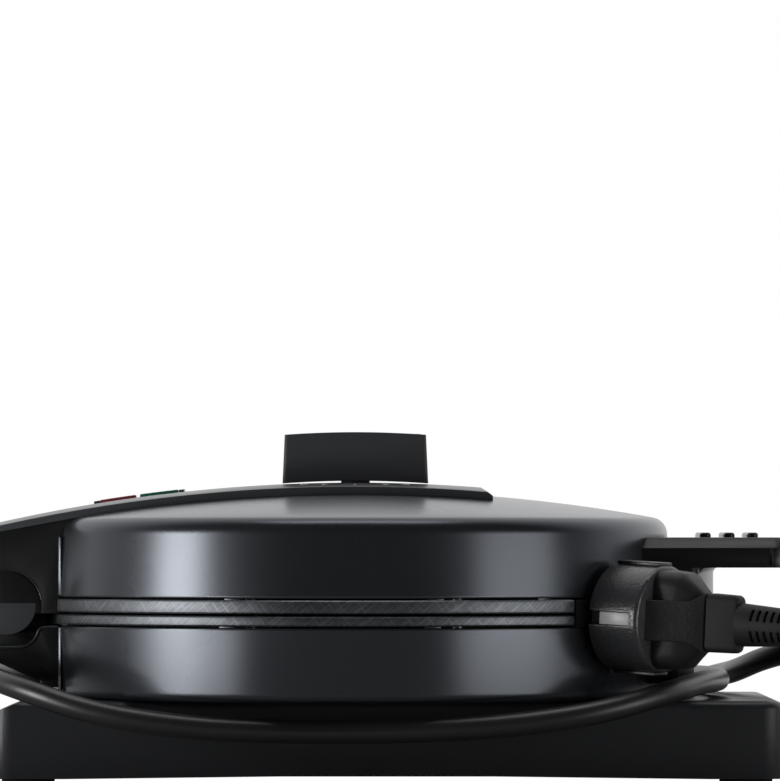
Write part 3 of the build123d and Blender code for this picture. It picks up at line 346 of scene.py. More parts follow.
def grainedFinish(name, ownLook):
    look = {**commonLook, **ownLook}
    skin, tree, shader = newFinish(name, look)
    fine = objectNoise(tree, look["grain"], look["grainDetail"])
    broad = objectNoise(tree, look["broad"], look["broadDetail"])
    broadPart = arithmetic(tree, "MULTIPLY", broad, look["broadShare"])
    finePart = arithmetic(tree, "MULTIPLY", fine, 1 - look["broadShare"])
    tone = arithmetic(tree, "ADD", broadPart, finePart)
    if "scratches" in look:
        lines = scratchLines(tree, *scratching["first"])
        others = scratchLines(tree, *scratching["second"])
        fainter = arithmetic(tree, "MULTIPLY", others, scratching["secondShare"])
        both = arithmetic(tree, "MAXIMUM", lines, fainter)
        marks = spread(tree, both, 0, look["scratches"], *scratching["seen"])
        tone = arithmetic(tree, "ADD", arithmetic(tree, "MULTIPLY", tone, scratching["ground"]), marks)
    tree.links.new(blendColours(tree, spread(tree, tone, 0, 1), look["colour"], look["lighter"]),
                   shader.inputs["Base Color"])
    tree.links.new(spread(tree, broad, *look["rough"]), shader.inputs["Roughness"])
    emboss(tree, shader, fine, look["bump"], look["depth"] * mm)
    return skin


finishes = {
    "anthracite_metal": {
        "colour": (0.088, 0.095, 0.107), "lighter": (0.100, 0.107, 0.120),
        "rough": (0.24, 0.28), "metal": 0.8, "grain": 2600.0, "bump": 0.10, "depth": 0.04,
    },
    "black_plastic": {
        "colour": (0.012, 0.0124, 0.0134), "lighter": (0.016, 0.0165, 0.0178),
        "rough": (0.26, 0.34), "grain": 1900.0, "bump": 0.16, "depth": 0.05,
    },
    "cover_plastic": {
        "colour": (0.066, 0.069, 0.076), "lighter": (0.080, 0.084, 0.092),
        "rough": (0.30, 0.38), "grain": 1900.0, "bump": 0.14, "depth": 0.05,
    },
    "knob_plastic": {
        "colour": (0.044, 0.0458, 0.051), "lighter": (0.058, 0.0605, 0.067),
        "rough": (0.44, 0.52), "grain": 1500.0, "bump": 0.3, "depth": 0.06,
    },
    "cast_plate": {
        "colour": (0.100, 0.107, 0.116), "lighter": (0.230, 0.242, 0.258),
        "rough": (0.30, 0.46), "metal": 0.8, "grain": 700.0, "bump": 0.30, "depth": 0.07, "scratches": 0.55,
    },
    "element_steel": {
        "colour": (0.16, 0.15, 0.14), "lighter": (0.22, 0.2, 0.18),
        "rough": (0.3, 0.5), "metal": 0.9, "grain": 900.0, "bump": 0.2, "depth": 0.05,
    },
    "reflector_sheet": {
        "colour": (0.62, 0.63, 0.64), "lighter": (0.72, 0.73, 0.74),
        "rough": (0.25, 0.4), "metal": 1.0, "grain": 600.0, "bump": 0.1, "depth": 0.05,
    },
    "plain_steel": {
        "colour": (0.42, 0.42, 0.43), "lighter": (0.52, 0.52, 0.53),
        "rough": (0.25, 0.4), "metal": 1.0, "grain": 1200.0, "bump": 0.1, "depth": 0.03,
    },
    "terminal_ceramic": {
        "colour": (0.66, 0.62, 0.54), "lighter": (0.72, 0.69, 0.62),
        "rough": (0.5, 0.65), "grain": 1400.0, "bump": 0.2, "depth": 0.05,
    },
    "foot_rubber": {
        "colour": (0.014, 0.014, 0.014), "lighter": (0.020, 0.020, 0.020),
        "rough": (0.7, 0.85), "grain": 1600.0, "bump": 0.35, "depth": 0.06,
    },
    "cord_rubber": {
        "colour": (0.012, 0.0122, 0.0135), "lighter": (0.018, 0.0182, 0.0203),
        "rough": (0.34, 0.44), "specular": 1.0, "grain": 1300.0, "bump": 0.3, "depth": 0.05,
    },
    "plug_rubber": {
        "colour": (0.015, 0.0152, 0.0165), "lighter": (0.022, 0.0222, 0.024),
        "rough": (0.40, 0.52), "grain": 1500.0, "bump": 0.55, "depth": 0.09,
    },
    "white_plastic": {
        "colour": (0.97, 0.97, 0.97), "lighter": (0.98, 0.98, 0.98),
        "rough": (0.25, 0.35), "grain": 900.0, "bump": 0.05, "depth": 0.02,
    },
    "nickel_plate": {
        "colour": (0.055, 0.054, 0.053), "lighter": (0.12, 0.117, 0.114),
        "rough": (0.24, 0.4), "metal": 1.0, "grain": 900.0, "bump": 0.1, "depth": 0.03,
    },
    # The lenses' own red and green, made lighter throughout as painted reflection of the white backdrop
    "red_plastic": {
        "colour": (0.28, 0.045, 0.058), "lighter": (0.36, 0.06, 0.075),
        "rough": (0.12, 0.2), "coat": 0.3, "grain": 900.0, "bump": 0.05, "depth": 0.02,
    },
    "green_plastic": {
        "colour": (0.022, 0.16, 0.105), "lighter": (0.03, 0.21, 0.135),
        "rough": (0.12, 0.2), "coat": 0.3, "grain": 900.0, "bump": 0.05, "depth": 0.02,
    },
    "lamp_glass": {
        "colour": (0.75, 0.7, 0.65), "lighter": (0.8, 0.76, 0.7),
        "rough": (0.05, 0.1), "grain": 500.0, "bump": 0.02, "depth": 0.02,
    },
}
skins = {name: grainedFinish(name + "_skin", look) for name, look in finishes.items()}
pieceLooks = {
    "plug_panel": ("plug_rubber", {
        "lighter": (0.034, 0.0345, 0.037), "grain": 900.0, "bump": 0.9, "depth": 0.22,
    }),
    # Painted highlight: the disc is a lighter copy of the plug's rubber, standing in for the bright band that
    # light lays on its rim
    "plug_disc_painted_highlight": ("plug_rubber", {
        "colour": (0.04, 0.041, 0.044), "lighter": (0.075, 0.077, 0.083),
        "rough": (0.22, 0.3), "specular": 0.8, "grain": 1100.0, "bump": 0.9, "depth": 0.16,
    }),
    # Painted shade: the tail and the relief sleeve are a darker copy of the plug's rubber, standing in for
    # less light on their sides
    "plug_tail_painted_shade": ("plug_rubber", {
        "colour": (0.011, 0.0112, 0.0122), "lighter": (0.015, 0.0152, 0.0165),
        "rough": (0.55, 0.68), "bump": 0.3,
    }),
    # Painted shade: the parking block is darker and duller than the other black plastic, for the shade it
    # sits in behind the plug
    "parking_block": ("black_plastic", {
        "colour": (0.004, 0.0041, 0.0045), "lighter": (0.006, 0.0061, 0.0066),
        "rough": (0.6, 0.7), "specular": 0.2,
    }),
    "base": ("black_plastic", {
        "colour": (0.032, 0.0335, 0.037), "lighter": (0.040, 0.042, 0.0465), "rough": (0.34, 0.42),
    }),
}
pieceSkins = {
    name: grainedFinish(name + "_skin", {**finishes[slot], **change})
    for name, (slot, change) in pieceLooks.items()
}


def dress(piece, slot):
    piece.data.materials.clear()
    piece.data.materials.append(skins[slot])


for name, node in nodes.items():
    for spot in node.material_slots:
        spot.material = skins[rows[name]["material_slot"]]
dress(rubberCord, "cord_rubber")
report("finishes made")

# Steps that the pieces share
shared = {"weld": 0.000002, "smooth": 35}


def stand(piece, body, slot, *stoodFor):    # rides on a body, wears a finish and stands for CAD nodes
    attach(piece, body)
    if stoodFor:
        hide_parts(*stoodFor)
    dress(piece, slot)


def standFor(piece, source):    # takes the body, the finish and the place of a CAD node
    stand(piece, bodyOf[source], rows[source]["material_slot"], source)


def shadeSmooth(angle=shared["smooth"]):
    bpy.ops.object.shade_smooth_by_angle(angle=math.radians(angle))


def finishWith(piece, kind, **settings):
    pick(piece)
    modifier = piece.modifiers.new(kind.lower(), kind)
    for key, value in settings.items():
        setattr(modifier, key, value)
    bpy.ops.object.modifier_apply(modifier=modifier.name)


def softenEdges(piece, edge, segments, angle, **settings):
    finishWith(piece, "BEVEL", width=edge * mm, segments=segments, limit_method="ANGLE",
               angle_limit=math.radians(angle), **settings)


def copyOf(piece, name):
    copied = bpy.data.objects.new(name, piece.data.copy())
    bpy.context.collection.objects.link(copied)
    pick(copied)
    return copied


def joinAll(pieces, angle=shared["smooth"]):
    deselectAll()
    for piece in pieces:
        piece.select_set(True)
    bpy.context.view_layer.objects.active = pieces[0]
    bpy.ops.object.join()
    shadeSmooth(angle)
    return pieces[0]


def roundedBlock(name, x, y, z, edge, segments=3):
    deselectAll()
    middle = place(*[sum(span) / 2 for span in (x, y, z)])
    bpy.ops.mesh.primitive_cube_add(size=1, location=middle)
    piece = bpy.context.object
    piece.name = name
    bpy.ops.object.transform_apply(location=True)
    bpy.ops.object.mode_set(mode="EDIT")
    size = [(span[1] - span[0]) * mm for span in (x, y, z)]
    bpy.ops.transform.resize(value=size, center_override=middle)
    bpy.ops.mesh.bevel(offset=edge * mm, segments=segments, affect="EDGES")
    bpy.ops.object.mode_set(mode="OBJECT")
    return piece


def turnedBlock(name, x, width, z, edge, angle):    # stands off the body's axis and is turned about it
    away = [value - bodyX for value in x]
    piece = roundedBlock(name, away, (-width / 2, width / 2), z, edge, 2)
    piece.rotation_euler = (0, 0, math.radians(angle))
    piece.location = place(0, 0, 0)
    bpy.ops.object.transform_apply(location=True, rotation=True)
    return piece


# Housings: a copy of each solid with its moulded edges rounded off
softening = {"angle": 32, "flatWithin": 0.4, "smoothOver": 6}


def softenedCopy(source, name, edge, segments=2, keepTo=None):
    piece = copyOf(nodes[source], name)
    bpy.ops.mesh.customdata_custom_splitnormals_clear()
    bpy.ops.object.mode_set(mode="EDIT")
    bpy.ops.mesh.select_mode(type="VERT")
    bpy.ops.mesh.select_all(action="SELECT")
    bpy.ops.mesh.remove_doubles(threshold=shared["weld"])
    if keepTo:
        bpy.ops.mesh.bisect(plane_co=keepTo[0], plane_no=keepTo[1], clear_outer=True, use_fill=True)
        bpy.ops.mesh.select_all(action="SELECT")
    bpy.ops.mesh.dissolve_limited(angle_limit=math.radians(softening["flatWithin"]))
    bpy.ops.object.mode_set(mode="OBJECT")
    softenEdges(piece, edge, segments, softening["angle"], use_clamp_overlap=True, miter_outer="MITER_ARC",
                harden_normals=False)
    shadeSmooth(softening["angle"] + softening["smoothOver"])
    standFor(piece, source)
    return piece


housings = {
    "hinge_arm": ("hingeCheeks", 0.7), "lower_hinge_block": ("hingeLedge", 0.6),
    "lower_front_block": ("frontBlock", 0.7), "handle": ("liftHandle", 0.5),
    "control_cover": ("spineCover", 0.4), "base_housing": ("baseBody", 0.6),
    "plug_parking_block": ("parkingBlock", 0.3), "cord_outlet": ("cordFairing", 0.5),
    "lower_waffle_plate": ("lowerHeartPlate", 0.25), "upper_waffle_plate": ("upperHeartPlate", 0.25),
    "temperature_knob": ("barKnob", 0.6), "lamp_bezel": ("lensFrame", 0.15),
    "red_lens": ("redLens", 0.4), "green_lens": ("greenLens", 0.4),
    "plug_earth_clips": ("earthClips", 0.25), "plug_insert": ("notchInsert", 0.2),
    "plug_pins": ("contactPins", 0.6), "hinge_pin": ("hingePin", 0.5),
    "hinge_washers": ("hingeWashers", 0.12), "base_cover": ("baseCover", 0.4),
}
for source, (name, edge) in housings.items():
    softenedCopy(source, name, edge)
    report(name)

# Casings: two bowls drawn out ring by ring from a circle, then given a wall
# The support ring close to the rounded lip keeps the wall's shading even
casings = {
    "sides": 288, "wall": 2.2, "smooth": 30,
    "lip": 0.45, "lipTurn": 0.3, "support": (0.02, 0.4),
    "lidLow": 63.4, "lidFoot": 109.2, "lidDraft": (0.45, 11),
    "round": 6.0, "roundCentre": (102.2, 84.75), "roundTurn": 79.7, "roundSteps": 8,
    "crown": 580.0, "lidTop": 99.93, "crownRings": (97, 90, 82, 73, 63, 52, 40, 27, 14, 5),
    "lowTop": 53.5, "lowRim": 109.2, "lowDraft": (0.5, 11),
    "lowFoot": 31.1, "lowHeel": 108.2, "heelStart": (0.03, 0.6), "heelRound": 2.5, "heelSteps": 5,
    "bottomRings": (70, 20),
    "tab": (5.5, 1.6, 0.6), "tabInset": 1.2, "tabEdge": 0.12,
    "lowTabs": (-113, -76, 76, 113), "lidTabs": (-112, -75.5, -54, 54, 75.5, 112),
}


def drawRings(name, rings):    # a circle drawn out through rings of radius and height, closed in the middle
    deselectAll()
    radius, height = rings[0]
    bpy.ops.mesh.primitive_circle_add(
        vertices=casings["sides"], radius=radius * mm, location=place(0, 0, height))
    piece = bpy.context.object
    piece.name = name
    bpy.ops.object.transform_apply(location=True)
    bpy.ops.object.mode_set(mode="EDIT")
    bpy.ops.mesh.select_all(action="SELECT")
    for nextRadius, nextHeight in rings[1:]:
        bpy.ops.mesh.extrude_region_move(TRANSFORM_OT_translate={"value": (0, 0, (nextHeight - height) * mm)})
        share = nextRadius / radius
        bpy.ops.transform.resize(value=(share, share, 1), center_override=place(0, 0, nextHeight))
        radius, height = nextRadius, nextHeight
    bpy.ops.mesh.merge(type="CENTER")
    bpy.ops.mesh.select_all(action="SELECT")
    bpy.ops.mesh.normals_make_consistent(inside=False)
    bpy.ops.object.mode_set(mode="OBJECT")
    finishWith(piece, "SOLIDIFY", thickness=casings["wall"] * mm, offset=-1, use_even_offset=True)
    return piece


def tabsOf(angles, low):    # small stops that the plate's rim rests on
    width, depth, rise = casings["tab"]
    middle = casings["lowRim"] - casings["tabInset"]
    span = (middle - depth / 2, middle + depth / 2)
    return [turnedBlock("tab", span, width, (low, low + rise), casings["tabEdge"], angle) for angle in angles]


def lipRings(rim, edge, way):    # way is 1 where the wall goes up from its open edge, and -1 for down
    lip, turned = casings["lip"], casings["lip"] * casings["lipTurn"]
    inset, rise = casings["support"]
    return [(rim - lip, edge), (rim - turned, edge + way * turned), (rim, edge + way * lip),
            (rim - inset, edge + way * (lip + rise))]


def lidRings():
    inset, rise = casings["lidDraft"]
    rings = lipRings(casings["lidFoot"], casings["lidLow"], 1)
    rings.append((casings["lidFoot"] - inset, casings["lidLow"] + rise))
    across, up = casings["roundCentre"]
    for step in range(casings["roundSteps"] + 1):
        turn = math.radians(casings["roundTurn"] * step / casings["roundSteps"])
        rings.append((across + casings["round"] * math.cos(turn), up + casings["round"] * math.sin(turn)))
    for radius in casings["crownRings"]:
        drop = casings["crown"] - math.sqrt(casings["crown"] ** 2 - radius**2)
        rings.append((radius, casings["lidTop"] - drop))
    return rings


def lowerRings():
    inset, drop = casings["lowDraft"]
    heelOut, heelUp = casings["heelStart"]
    heel, heelRound, foot = casings["lowHeel"], casings["heelRound"], casings["lowFoot"]
    rings = lipRings(casings["lowRim"], casings["lowTop"], -1)
    rings.append((casings["lowRim"] - inset, casings["lowTop"] - drop))
    rings.append((heel + heelOut, foot + heelUp))
    for step in range(casings["heelSteps"] + 1):
        turn = math.radians(90 * step / casings["heelSteps"])
        rings.append((heel - heelRound * (1 - math.cos(turn)), foot - heelRound * math.sin(turn)))
    return rings + [(radius, foot - heelRound) for radius in casings["bottomRings"]]


def makeCasing(name, rings, tabs, source):
    piece = joinAll([drawRings(name, rings), *tabs], casings["smooth"])
    standFor(piece, source)
    report(name)


lidTabs = tabsOf(casings["lidTabs"], casings["lidLow"] - casings["tab"][2])
makeCasing("lidCasing", lidRings(), lidTabs, "lid_shell")
makeCasing("lowerCasing", lowerRings(), tabsOf(casings["lowTabs"], casings["lowTop"]), "lower_shell")

# Web between the hinge lug and the step behind it, in two heights, and a strip under the step
hingeAxis = (-119.0, 60.6)
lugWeb = {
    "blocks": [
        (-116.0, -109.4, 24.2, 47.0, 59.4), (-110.0, -101.0, 24.2, 47.0, 57.6),
        (-107.4, -97.0, 41.4, 32.5, 37.0),
    ],
    "edge": 0.4,
}

web = joinAll([
    roundedBlock("lugWeb", (near, far), (-half, half), (low, high), lugWeb["edge"])
    for near, far, half, low, high in lugWeb["blocks"]
])
stand(web, "base", "black_plastic", "lower_hinge_block")
report("hinge web")

# Beads down the casings beside the rear blocks and at the handle's end, slanted to catch the side lights
bead = {
    "spot": (-100.6, 42.05), "lid": (64.0, 84.0), "low": (31.0, 53.0),
    "handleSpot": (142.2, 46.35), "handle": (74.2, 80.0),
    "back": 1.1, "width": 1.24, "edge": 0.12, "slant": 31,
}


def makeBead(name, spot, levels, side, body, slot, node):
    across, depth = spot
    low, high = levels
    deselectAll()
    bpy.ops.mesh.primitive_plane_add(size=1 * mm, location=(0, 0, 0))
    piece = bpy.context.object
    piece.name = name
    bpy.ops.object.mode_set(mode="EDIT")
    bpy.ops.mesh.select_all(action="SELECT")
    bpy.ops.transform.resize(value=(bead["back"], bead["width"], 1), center_override=(0, 0, 0))
    bpy.ops.mesh.extrude_region_move(TRANSFORM_OT_translate={"value": (0, 0, (high - low) * mm)})
    bpy.ops.mesh.select_all(action="SELECT")
    bpy.ops.mesh.bevel(offset=bead["edge"] * mm, segments=2, affect="EDGES")
    bpy.ops.mesh.select_all(action="SELECT")
    bpy.ops.mesh.normals_make_consistent(inside=False)
    bpy.ops.object.mode_set(mode="OBJECT")
    piece.rotation_euler = (0, 0, side * math.radians(bead["slant"]))
    piece.location = place(across, side * depth, low)
    bpy.ops.object.transform_apply(location=True, rotation=True)
    shadeSmooth()
    stand(piece, body, slot, node)


bothSides = ((-1, "Near"), (1, "Far"))
for side, word in bothSides:
    makeBead("lidBead" + word, bead["spot"], bead["lid"], side, "lid", "anthracite_metal", "lid_shell")
    makeBead("lowerBead" + word, bead["spot"], bead["low"], side, "base", "anthracite_metal", "lower_shell")
    makeBead("handleBead" + word, bead["handleSpot"], bead["handle"], side, "lid", "black_plastic", "handle")
report("beads")

# Bright edge lines: round the step of the hinge ledge and round the hinge boss, on both sides
edgeLine = {
    "side": 41.9, "thick": 0.55, "alongSteps": 6, "roundSteps": 4, "smooth": 50,
    "arcThick": 0.34, "arcRadius": 12.1, "arc": (10, 64), "arcSteps": 8,
    "step": [(-127.5, 46.1), (-114.6, 46.1), (-112.2, 46.7), (-110.2, 48.0), (-108.7, 50.0), (-107.9, 52.2),
             (-106.9, 53.1), (-101.4, 53.1)],
}


def bentLine(name, points, thick, body, node):
    line = bpy.data.curves.new(name + "Curve", "CURVE")
    line.dimensions = "3D"
    spline = line.splines.new("NURBS")
    spline.points.add(len(points) - 1)
    for point, spot in zip(spline.points, points):
        point.co = (*place(*spot), 1)
    spline.order_u = 3
    spline.use_endpoint_u = True
    line.resolution_u = edgeLine["alongSteps"]
    line.bevel_depth = thick * mm
    line.bevel_resolution = edgeLine["roundSteps"]
    line.use_fill_caps = True
    piece = bpy.data.objects.new(name, line)
    bpy.context.collection.objects.link(piece)
    pick(piece)
    bpy.ops.object.convert(target="MESH")
    piece = bpy.context.object
    piece.name = name
    shadeSmooth(edgeLine["smooth"])
    stand(piece, body, "anthracite_metal", node)


def arcSpots(depth):
    low, high = edgeLine["arc"]
    reach, (axisX, axisZ) = edgeLine["arcRadius"], hingeAxis
    spots = []
    for step in range(edgeLine["arcSteps"] + 1):
        turn = math.radians(low + (high - low) * step / edgeLine["arcSteps"])
        spots.append((axisX + reach * math.cos(turn), depth, axisZ + reach * math.sin(turn)))
    return spots


for side, word in bothSides:
    depth = side * edgeLine["side"]
    stepSpots = [(x, depth, z) for x, z in edgeLine["step"]]
    bentLine("ledgeLine" + word, stepSpots, edgeLine["thick"], "base", "lower_hinge_block")
    bentLine("bossLine" + word, arcSpots(depth), edgeLine["arcThick"], "lid", "hinge_arm")

# Boss highlight sheets: thin sheets of lighter plastic over the lower halves of the hinge bosses, a painted
# highlight where light falls on them
bossHighlightSheet = {
    "radius": 10.1, "sides": 96, "side": 41.8, "cut": 61.3, "rear": -128.8,
    "thick": 0.5, "edge": 0.2, "corner": 40,
}


def makeBossHighlightSheet(word, side):
    deselectAll()
    centre = place(hingeAxis[0], side * bossHighlightSheet["side"], hingeAxis[1])
    bpy.ops.mesh.primitive_circle_add(
        vertices=bossHighlightSheet["sides"], radius=bossHighlightSheet["radius"] * mm, fill_type="NGON", location=centre,
        rotation=(math.radians(90), 0, 0))
    cap = bpy.context.object
    cap.name = "bossHighlightSheet" + word
    bpy.ops.object.transform_apply(location=True, rotation=True)
    bpy.ops.object.mode_set(mode="EDIT")
    bpy.ops.mesh.select_all(action="SELECT")
    bpy.ops.mesh.bisect(plane_co=place(0, 0, bossHighlightSheet["cut"]), plane_no=(0, 0, 1), clear_outer=True)
    bpy.ops.mesh.select_all(action="SELECT")
    bpy.ops.mesh.bisect(plane_co=place(bossHighlightSheet["rear"], 0, 0), plane_no=(-1, 0, 0), clear_outer=True)
    bpy.ops.mesh.select_all(action="SELECT")
    bpy.ops.mesh.extrude_region_move(TRANSFORM_OT_translate={"value": (0, side * bossHighlightSheet["thick"] * mm, 0)})
    bpy.ops.mesh.select_all(action="SELECT")
    bpy.ops.mesh.normals_make_consistent(inside=False)
    bpy.ops.object.mode_set(mode="OBJECT")
    softenEdges(cap, bossHighlightSheet["edge"], 3, bossHighlightSheet["corner"])
    shadeSmooth()
    # the lighter plastic is a painted highlight, not a part of its own
    stand(cap, "lid", "cover_plastic", "hinge_arm")


for side, word in bothSides:
    makeBossHighlightSheet(word, side)
report("hinge lines and caps")

# Cross-head screws of the base cover, one modelled and copied to each place
coverScrew = {
    "places": [(-95.0, -48.0), (-95.0, 48.0), (117.0, -48.0), (117.0, 48.0)], "turns": (17, 58, 99, 140),
    "radius": 3.4, "sides": 48, "low": 2.15, "high": 3.9, "slot": (3.6, 0.9, 1.0), "crown": 0.5, "corner": 50,
}


def makeScrews():
    deselectAll()
    rise = coverScrew["high"] - coverScrew["low"]
    bpy.ops.mesh.primitive_cylinder_add(
        vertices=coverScrew["sides"], radius=coverScrew["radius"] * mm, depth=rise * mm)
    head = bpy.context.object
    head.name = "coverScrew"
    softenEdges(head, coverScrew["crown"], 4, coverScrew["corner"])
    length, width, deep = coverScrew["slot"]
    for turn in (0, 90):
        deselectAll()
        bpy.ops.mesh.primitive_cube_add(size=1, location=(0, 0, -rise / 2 * mm))
        cutter = bpy.context.object
        size = (length * mm, width * mm, deep * 2 * mm)
        bpy.ops.object.mode_set(mode="EDIT")
        bpy.ops.transform.resize(value=size, center_override=cutter.location)
        bpy.ops.object.mode_set(mode="OBJECT")
        cutter.rotation_euler = (0, 0, math.radians(turn))
        bpy.ops.object.transform_apply(location=True, rotation=True)
        finishWith(head, "BOOLEAN", object=cutter, operation="DIFFERENCE", solver="EXACT")
        bpy.data.objects.remove(cutter)
    for number, ((x, y), turn) in enumerate(zip(coverScrew["places"], coverScrew["turns"]), start=1):
        screw = copyOf(head, "coverScrew" + str(number))
        screw.rotation_euler = (0, 0, math.radians(turn))
        screw.location = place(x, y, (coverScrew["low"] + coverScrew["high"]) / 2)
        bpy.ops.object.transform_apply(location=True, rotation=True)
        shadeSmooth()
        stand(screw, "base", "plain_steel", "base_cover_screws")
    bpy.data.objects.remove(head)


makeScrews()

# Rubber feet: a rounded disc with a sunken ring under it
foot = {
    "places": [(-110.5, -63.5), (-110.5, 63.5), (132.5, -63.5), (132.5, 63.5)], "radius": 9.0, "sides": 72,
    "high": 3.9, "edge": 0.3, "corner": 50, "lip": 2.0, "sink": 0.7, "button": 2.6, "buttonRise": 0.42,
}


def makeFeet():
    deselectAll()
    bpy.ops.mesh.primitive_cylinder_add(
        vertices=foot["sides"], radius=foot["radius"] * mm, depth=foot["high"] * mm,
        location=(0, 0, foot["high"] / 2 * mm))
    pad = bpy.context.object
    pad.name = "rubberFoot"
    bpy.ops.object.transform_apply(location=True)
    bpy.ops.object.mode_set(mode="EDIT")
    bpy.ops.mesh.select_mode(type="FACE")
    bpy.ops.mesh.select_all(action="DESELECT")
    bpy.ops.object.mode_set(mode="OBJECT")
    for face in pad.data.polygons:
        face.select = face.normal.z < -0.9
    bpy.ops.object.mode_set(mode="EDIT")
    bpy.ops.mesh.inset(thickness=foot["lip"] * mm)
    bpy.ops.mesh.extrude_region_move(TRANSFORM_OT_translate={"value": (0, 0, foot["sink"] * mm)})
    bpy.ops.mesh.inset(thickness=(foot["radius"] - foot["lip"] - foot["button"]) * mm)
    bpy.ops.mesh.extrude_region_move(TRANSFORM_OT_translate={"value": (0, 0, -foot["buttonRise"] * mm)})
    bpy.ops.object.mode_set(mode="OBJECT")
    softenEdges(pad, foot["edge"], 3, foot["corner"])
    for number, (x, y) in enumerate(foot["places"], start=1):
        copied = copyOf(pad, "rubberFoot" + str(number))
        copied.location = place(x, y, 0)
        bpy.ops.object.transform_apply(location=True)
        shadeSmooth()
        stand(copied, "base", "foot_rubber", "rubber_feet")
    bpy.data.objects.remove(pad)


makeFeet()
report("screws and feet")

# Dial marks on the spine round the knob, and the knob's pointer line
dial = {
    "near": 28.6, "far": 32.4, "width": 0.9, "turns": (55, 70, 90, 110, 125),
    "top": 102.73, "curve": 1120.0, "proud": 0.18, "deep": 0.6, "edge": 0.15,
}
pointer = {"near": 13.5, "far": 22.5, "width": 1.3, "top": 120.05, "curve": 640.0, "proud": 0.12, "deep": 0.8,
           "edge": 0.2}


def markHeights(mark):    # from just inside the curved top to just proud of it, halfway along the mark
    surface = mark["top"] - ((mark["near"] + mark["far"]) / 2) ** 2 / mark["curve"]
    return (surface - mark["deep"], surface + mark["proud"])


def makeMarks():
    span, heights = (dial["near"], dial["far"]), markHeights(dial)
    turns = [side * turn for side in (-1, 1) for turn in dial["turns"]]
    marks = [turnedBlock("dialMarks", span, dial["width"], heights, dial["edge"], turn) for turn in turns]
    stand(joinAll(marks), "lid", "white_plastic", "control_cover")


def makePointer():
    half = pointer["width"] / 2
    line = roundedBlock("knobPointer", (pointer["near"], pointer["far"]), (-half, half), markHeights(pointer),
                        pointer["edge"])
    shadeSmooth()
    stand(line, bodyOf["temperature_knob"], "white_plastic", "temperature_knob")


makeMarks()
makePointer()
report("dial marks and pointer")

# Plug: the disc from the solid, the grip, its panels and the tail drawn out of a plane along the plug's line
plug = {
    "root": (89.228, -66.025, 57.1), "out": (0.8028, -0.5941, -0.0506), "discEnd": 19.9, "discEdge": 0.55,
    "grip": [(19.3, 9.0, 16.8), (27.3, 8.0, 16.4), (29.4, 7.4, 15.8), (31.8, 6.3, 13.6), (36.6, 4.0, 9.6)],
    "panel": [(19.3, 13.6, 6.8), (21.5, 12.2, 6.8), (24.5, 10.6, 6.8), (28.0, 9.2, 6.8), (32.0, 7.8, 6.8),
              (34.6, 6.8, 7.3), (36.4, 5.9, 8.7), (37.9, 4.9, 9.8)],
    "tail": [(38.1, 4.3, 9.9), (48.6, 2.9, 9.7), (50.1, 2.7, 8.9)],
    "gripCorner": 5.6, "gripEdge": 0.5, "panelCorner": 0.6, "panelEdge": 0.35,
    "tailCorner": 2.2, "tailEdge": 0.7, "corner": 40, "smooth": 32,
    "reliefEdge": 0.2, "reliefMiddle": 50.0, "reliefTurn": 53.5, "reliefShare": 0.76,
}


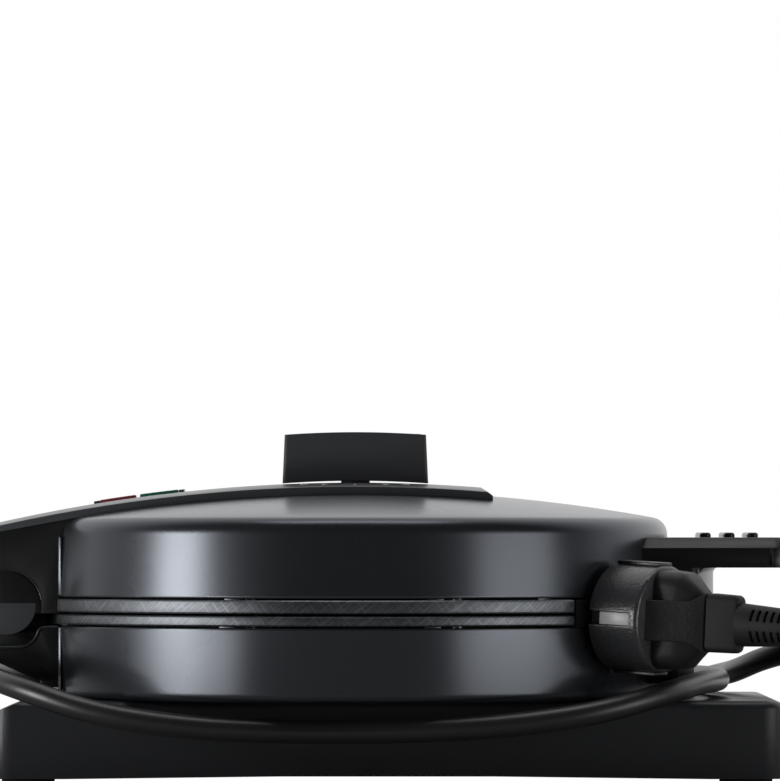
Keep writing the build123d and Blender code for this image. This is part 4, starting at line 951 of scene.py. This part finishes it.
def drawAlong(name, levels, corner, edge):    # each level is a distance along the plug and two half widths
    deselectAll()
    bpy.ops.mesh.primitive_plane_add(size=2 * mm)
    piece = bpy.context.object
    piece.name = name
    height, across, up = levels[0]
    bpy.ops.object.mode_set(mode="EDIT")
    bpy.ops.mesh.select_all(action="SELECT")
    bpy.ops.transform.resize(value=(across, up, 1))
    bpy.ops.transform.translate(value=(0, 0, height * mm))
    bpy.ops.mesh.bevel(offset=corner * mm, segments=5, affect="VERTICES")
    bpy.ops.mesh.select_all(action="SELECT")
    for nextHeight, nextAcross, nextUp in levels[1:]:
        bpy.ops.mesh.extrude_region_move(TRANSFORM_OT_translate={"value": (0, 0, (nextHeight - height) * mm)})
        widen = (nextAcross / across, nextUp / up, 1)
        bpy.ops.transform.resize(value=widen, center_override=(0, 0, nextHeight * mm))
        height, across, up = nextHeight, nextAcross, nextUp
    bpy.ops.mesh.select_all(action="SELECT")
    bpy.ops.mesh.remove_doubles(threshold=shared["weld"])
    bpy.ops.mesh.normals_make_consistent(inside=False)
    bpy.ops.object.mode_set(mode="OBJECT")
    softenEdges(piece, edge, 3, plug["corner"])
    piece.location = place(*plug["root"])
    faceAlong(piece, plug["out"])
    pick(piece)
    bpy.ops.object.transform_apply(location=True, rotation=True)
    shadeSmooth(plug["smooth"])
    stand(piece, "base", "plug_rubber", "plug_body")


def plugSpot(along):
    return place(*[start + step * along for start, step in zip(plug["root"], plug["out"])])


discCut = (plugSpot(plug["discEnd"]), plug["out"])
softenedCopy("plug_body", "plugDisc", plug["discEdge"], 3, keepTo=discCut)
drawAlong("plugGrip", plug["grip"], plug["gripCorner"], plug["gripEdge"])
drawAlong("plugTail", plug["tail"], plug["tailCorner"], plug["tailEdge"])
drawAlong("plugPanels", plug["panel"], plug["panelCorner"], plug["panelEdge"])


def narrowed(piece, spot, turn, share):    # squeezed across a level line that makes an angle with the X axis
    pick(piece)
    for move, angle, scale in ((-1, 0, 1), (0, -turn, 1), (0, 0, share), (0, turn, 1), (1, 0, 1)):
        piece.location = [move * value for value in spot]
        piece.rotation_euler = (0, 0, math.radians(angle))
        piece.scale = (scale, 1, 1)
        bpy.ops.object.transform_apply(location=True, rotation=True, scale=True)


reliefSleeve = softenedCopy("plug_strain_relief", "reliefSleeve", plug["reliefEdge"])
narrowed(reliefSleeve, plugSpot(plug["reliefMiddle"]), plug["reliefTurn"], plug["reliefShare"])
report("plug")

# Finishes of single pieces that differ from their slot's; the plug disc's is a painted highlight, and the
# plug tail's, relief sleeve's and parking block's are painted shade
pieceFinishes = {
    "plugDisc": pieceSkins["plug_disc_painted_highlight"], "plugTail": pieceSkins["plug_tail_painted_shade"],
    "plugPanels": pieceSkins["plug_panel"], "reliefSleeve": pieceSkins["plug_tail_painted_shade"],
    "baseBody": pieceSkins["base"], "lensFrame": skins["cover_plastic"],
    "parkingBlock": pieceSkins["parking_block"],
}
for name, skin in pieceFinishes.items():
    bpy.data.objects[name].data.materials[0] = skin
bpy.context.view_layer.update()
report("sizes written")
